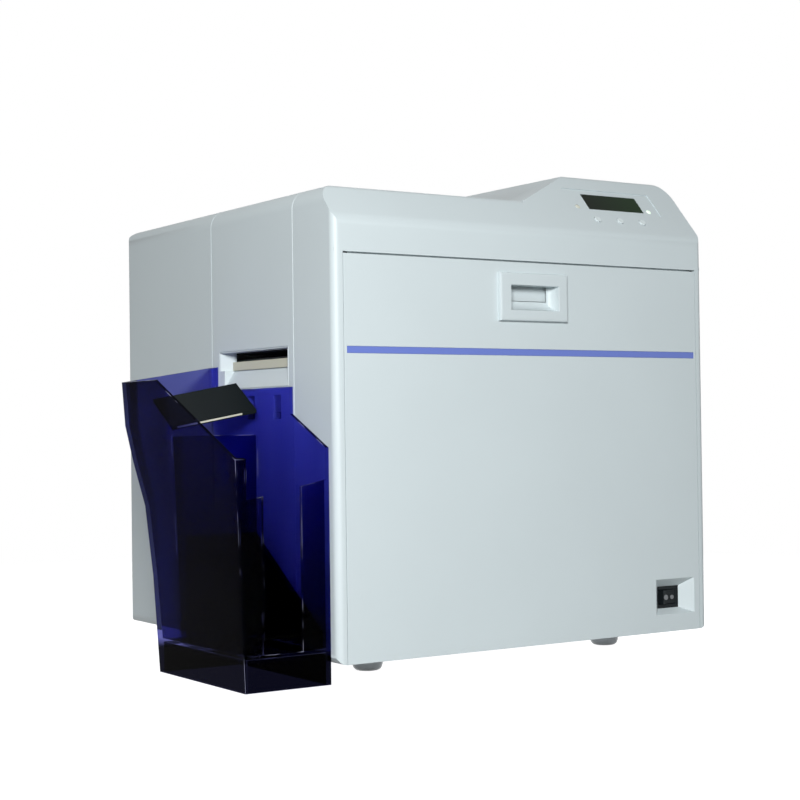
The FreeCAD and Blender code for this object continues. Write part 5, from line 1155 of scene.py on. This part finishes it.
class CARDPRINTER_OT_mechanism(Step, bpy.types.Operator):
    """Build the plates, guides, cassettes and the drive"""

    bl_idname = "card_printer.mechanism"
    bl_label = "Mechanism"

    def execute(self, context):
        sheets = ("base_tray", "mechanism_front_plate", "mechanism_rear_plate", "card_guides")
        stand_for(settings().sheet_edge, 1, *sheets, "hinge_brackets", "hinge_pins")
        moulded = ("card_magazine", "film_cassette", "ribbon_cassette", "drive_gear")
        others = ("timing_belt", "motor_pinion", "drive_motor", "print_head")
        stand_for(settings().small_edge, 2, *moulded, *others)
        self.grip("film_cassette", mm(-100.0, -36.0), mm(52.0, 84.0), "cassette_blue")
        self.grip("ribbon_cassette", mm(78.0, 128.0), mm(50.0, 78.0), "cassette_grey")
        self.ribs("film_cassette", mm(-20.0, 18.0), mm(132.0, 186.0), "cassette_blue")
        self.ribs("ribbon_cassette", mm(140.0, 178.0), mm(100.0, 140.0), "cassette_grey")
        self.bushes()
        self.plate_screws()
        return {"FINISHED"}

    def grip(self, node, wide, tall, slot):
        """A raised finger cup on a cassette's front plate."""
        front = span(node)[0].y
        reach, sunk, rim, deep, edge = mm(7.0, 0.2, 3.0, 5.6, 0.7)
        low = Vector((wide[0], front - reach, tall[0]))
        high = Vector((wide[1], front + sunk, tall[1]))
        cup = cuboid(node + "_grip", low, high)
        with editing(cup):
            pick(cup, lambda place, normal: normal.y < -FACING)
            stretch(0.92, 1, 0.84, (low + high) / 2)
            bpy.ops.mesh.inset(thickness=rim)
            extrude(y=deep)
            stretch(0.94, 1, 0.86, (low + high) / 2)
            select_everything("EDGE")
            bevel(edge)
            tidy_faces()
        finish_piece(cup, slot, "printer")

    def ribs(self, node, wide, tall, slot):
        """A row of upright stiffening ribs on a cassette's front plate."""
        front = span(node)[0].y
        thick, sunk, edge = mm(1.6, 0.2, 0.4)
        total = settings().rib_count
        pitch = (wide[1] - wide[0]) / total
        low, high = (wide[0], front - thick, tall[0]), (wide[0] + thick, front + sunk, tall[1])
        first = soften(cuboid(node + "_rib", low, high), edge)
        steps = [(pitch * number, 0, 0) for number in range(1, total)]
        finish_piece(with_copies(node + "_ribs", first, steps), slot, "printer")

    def bushes(self):
        """A flanged bush round each shaft end in the front plate."""
        front = span("mechanism_front_plate")[0].y
        inner, outer, thick = 3.15, 6.2, 1.6
        profile = [(0.25, inner), (0, inner + 0.4), (0, outer - 1.2), (0.5, outer - 0.4)]
        profile += [(1.1, outer), (thick, outer), (thick, inner), (0.25, inner)]
        rings = []
        for name in ("feed", "pick", "exit", "heat", "counter", "platen"):
            centre = middle(name + "_roller")
            start = (centre.x, front - thick * MM, centre.z)
            rings.append(lathe("bush", start, (0, 1, 0), profile, 40))
        finish_piece(joined("shaft_bushes", *rings), "gear_plastic", "printer")

    def plate_screws(self):
        """The screws that hold the front plate to the frame behind it."""
        front = span("mechanism_front_plate")[0].y
        head, length = 3.6, 3.0
        places = [(-112.0, 286.0), (37.0, 286.0), (-112.0, 212.0), (190.0, 212.0)]
        places += [(118.0, 180.0), (46.0, 30.0), (58.0, 150.0)]
        starts = [Vector((x * MM, front - head * 0.45 * MM, z * MM)) for x, z in places]
        first = pan_screw(starts[0], (0, 1, 0), head, length)
        screws = with_copies("plate_screws", first, [start - starts[0] for start in starts[1:]])
        finish_piece(screws, "zinc_steel", "printer")


class CARDPRINTER_OT_electrics(Step, bpy.types.Operator):
    """Build the power supply, the boards, the fan and the sockets"""

    bl_idname = "card_printer.electrics"
    bl_label = "Electrics"

    def execute(self, context):
        boxes = ("power_supply", "main_board", "fan_frame", "power_inlet", "data_ports")
        stand_for(settings().small_edge, 2, *boxes)
        stand_for(0.15 * MM, 1, "fan_rotor")
        return {"FINISHED"}


class CARDPRINTER_OT_stage(Step, bpy.types.Operator):
    """Set up the floor, the lights, the world and the camera"""

    bl_idname = "card_printer.stage"
    bl_label = "Stage"

    def execute(self, context):
        scene = context.scene
        scene.view_settings.view_transform = "Standard"
        scene.view_settings.look = "None"
        self.floor()
        low_target, target = (0, -0.05, 0.2), (0, 0, 0.2)
        self.light("key", (-0.88, -1.30, 0.62), low_target, (0.45, 0.35))
        self.light("top", (0.1, 0.1, 1.9), target, (1.6, 1.6))
        self.light("back", (1.35, 1.55, 0.5), target, (1.0, 0.8))
        self.world(scene)
        self.camera(scene)
        return {"FINISHED"}

    def floor(self):
        """A white floor that fades away in the distance."""
        deselect()
        bpy.ops.mesh.primitive_plane_add(size=12, location=(0, 0, 0))
        floor = settle("floor")
        look = Look("floor_white", roughness=0.75, specular_ior_level=0.2)
        look.set("Base Color", (0.32, 0.32, 0.32, 1.0))
        look.glow(look.seen(), (1.0, 1.0, 1.0))
        look.set("Emission Strength", settings().floor_glow)
        x, y, _ = look.parts("Object")
        fade_start, fade_width = 0.5, 0.5
        far = ((distance(x, y) - fade_start) / fade_width).clipped()
        open_air = look.node("BsdfTransparent", {"Color": (1, 1, 1, 1)})
        look.show(look.mixed(far, look.surface, open_air))
        floor.data.materials.append(looks["floor_white"])

    def light(self, name, place, target, size):
        """A rectangular light that faces its target."""
        deselect()
        place = Vector(place)
        turn = (Vector(target) - place).to_track_quat("-Z", "Y").to_euler()
        bpy.ops.object.light_add(type="AREA", location=place, rotation=turn)
        lamp = bpy.context.object
        lamp.name = name + "_light"
        lamp.data.shape = "RECTANGLE"
        lamp.data.size, lamp.data.size_y = size
        lamp.data.energy = getattr(settings(), name + "_power")

    def world(self, scene):
        """White where it is seen, and a dim fill light everywhere else."""
        scene.world = bpy.data.worlds.new("studio")
        scene.world.use_nodes = True
        nodes = Nodes(scene.world.node_tree, "OutputWorld")
        fill = {"Color": (0.93, 0.97, 1.0, 1.0), "Strength": settings().fill_level}
        dim = nodes.node("Background", fill)
        white = nodes.node("Background", {"Color": (1, 1, 1, 1)})
        nodes.show(nodes.mixed(nodes.seen(), dim, white))

    def camera(self, scene):
        """The camera stands and turns as the photograph's did."""
        yaw, pitch, roll = settings().camera_turn
        turn = Euler((math.pi / 2 + pitch, 0, -yaw)).to_matrix() @ Matrix.Rotation(roll, 3, "Z")
        deselect()
        bpy.ops.object.camera_add(location=settings().camera_place, rotation=turn.to_euler())
        camera = bpy.context.object
        camera.name = "camera"
        camera.data.lens = settings().camera_lens
        camera.data.clip_start = 0.01
        scene.camera = camera


OPERATORS = (
    CARDPRINTER_OT_housing,
    CARDPRINTER_OT_door,
    CARDPRINTER_OT_handle,
    CARDPRINTER_OT_switch,
    CARDPRINTER_OT_controls,
    CARDPRINTER_OT_card_exit,
    CARDPRINTER_OT_hopper,
    CARDPRINTER_OT_feet,
    CARDPRINTER_OT_screws,
    CARDPRINTER_OT_rollers,
    CARDPRINTER_OT_spools,
    CARDPRINTER_OT_mechanism,
    CARDPRINTER_OT_electrics,
    CARDPRINTER_OT_stage,
)


class CARDPRINTER_PT_build(bpy.types.Panel):
    """The printer's build steps, in their order"""

    bl_idname = "CARDPRINTER_PT_build"
    bl_label = "Card printer"
    bl_space_type = "VIEW_3D"
    bl_region_type = "UI"
    bl_category = "Card printer"

    def draw(self, context):
        for operator in OPERATORS:
            self.layout.operator(operator.bl_idname)
        for name in PrinterSettings.__annotations__:
            self.layout.prop(context.scene.card_printer, name)


CLASSES = (PrinterSettings,) + OPERATORS + (CARDPRINTER_PT_build,)


def register():
    for item in CLASSES:
        bpy.utils.register_class(item)
    bpy.types.Scene.card_printer = PointerProperty(type=PrinterSettings)


def unregister():
    del bpy.types.Scene.card_printer
    for item in reversed(CLASSES):
        bpy.utils.unregister_class(item)


def main():
    register()
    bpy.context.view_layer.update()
    make_looks()
    for operator in OPERATORS:
        group, name = operator.bl_idname.split(".")
        getattr(getattr(bpy.ops, group), name)()
    bpy.context.view_layer.update()


if __name__ == "__main__":
    main()
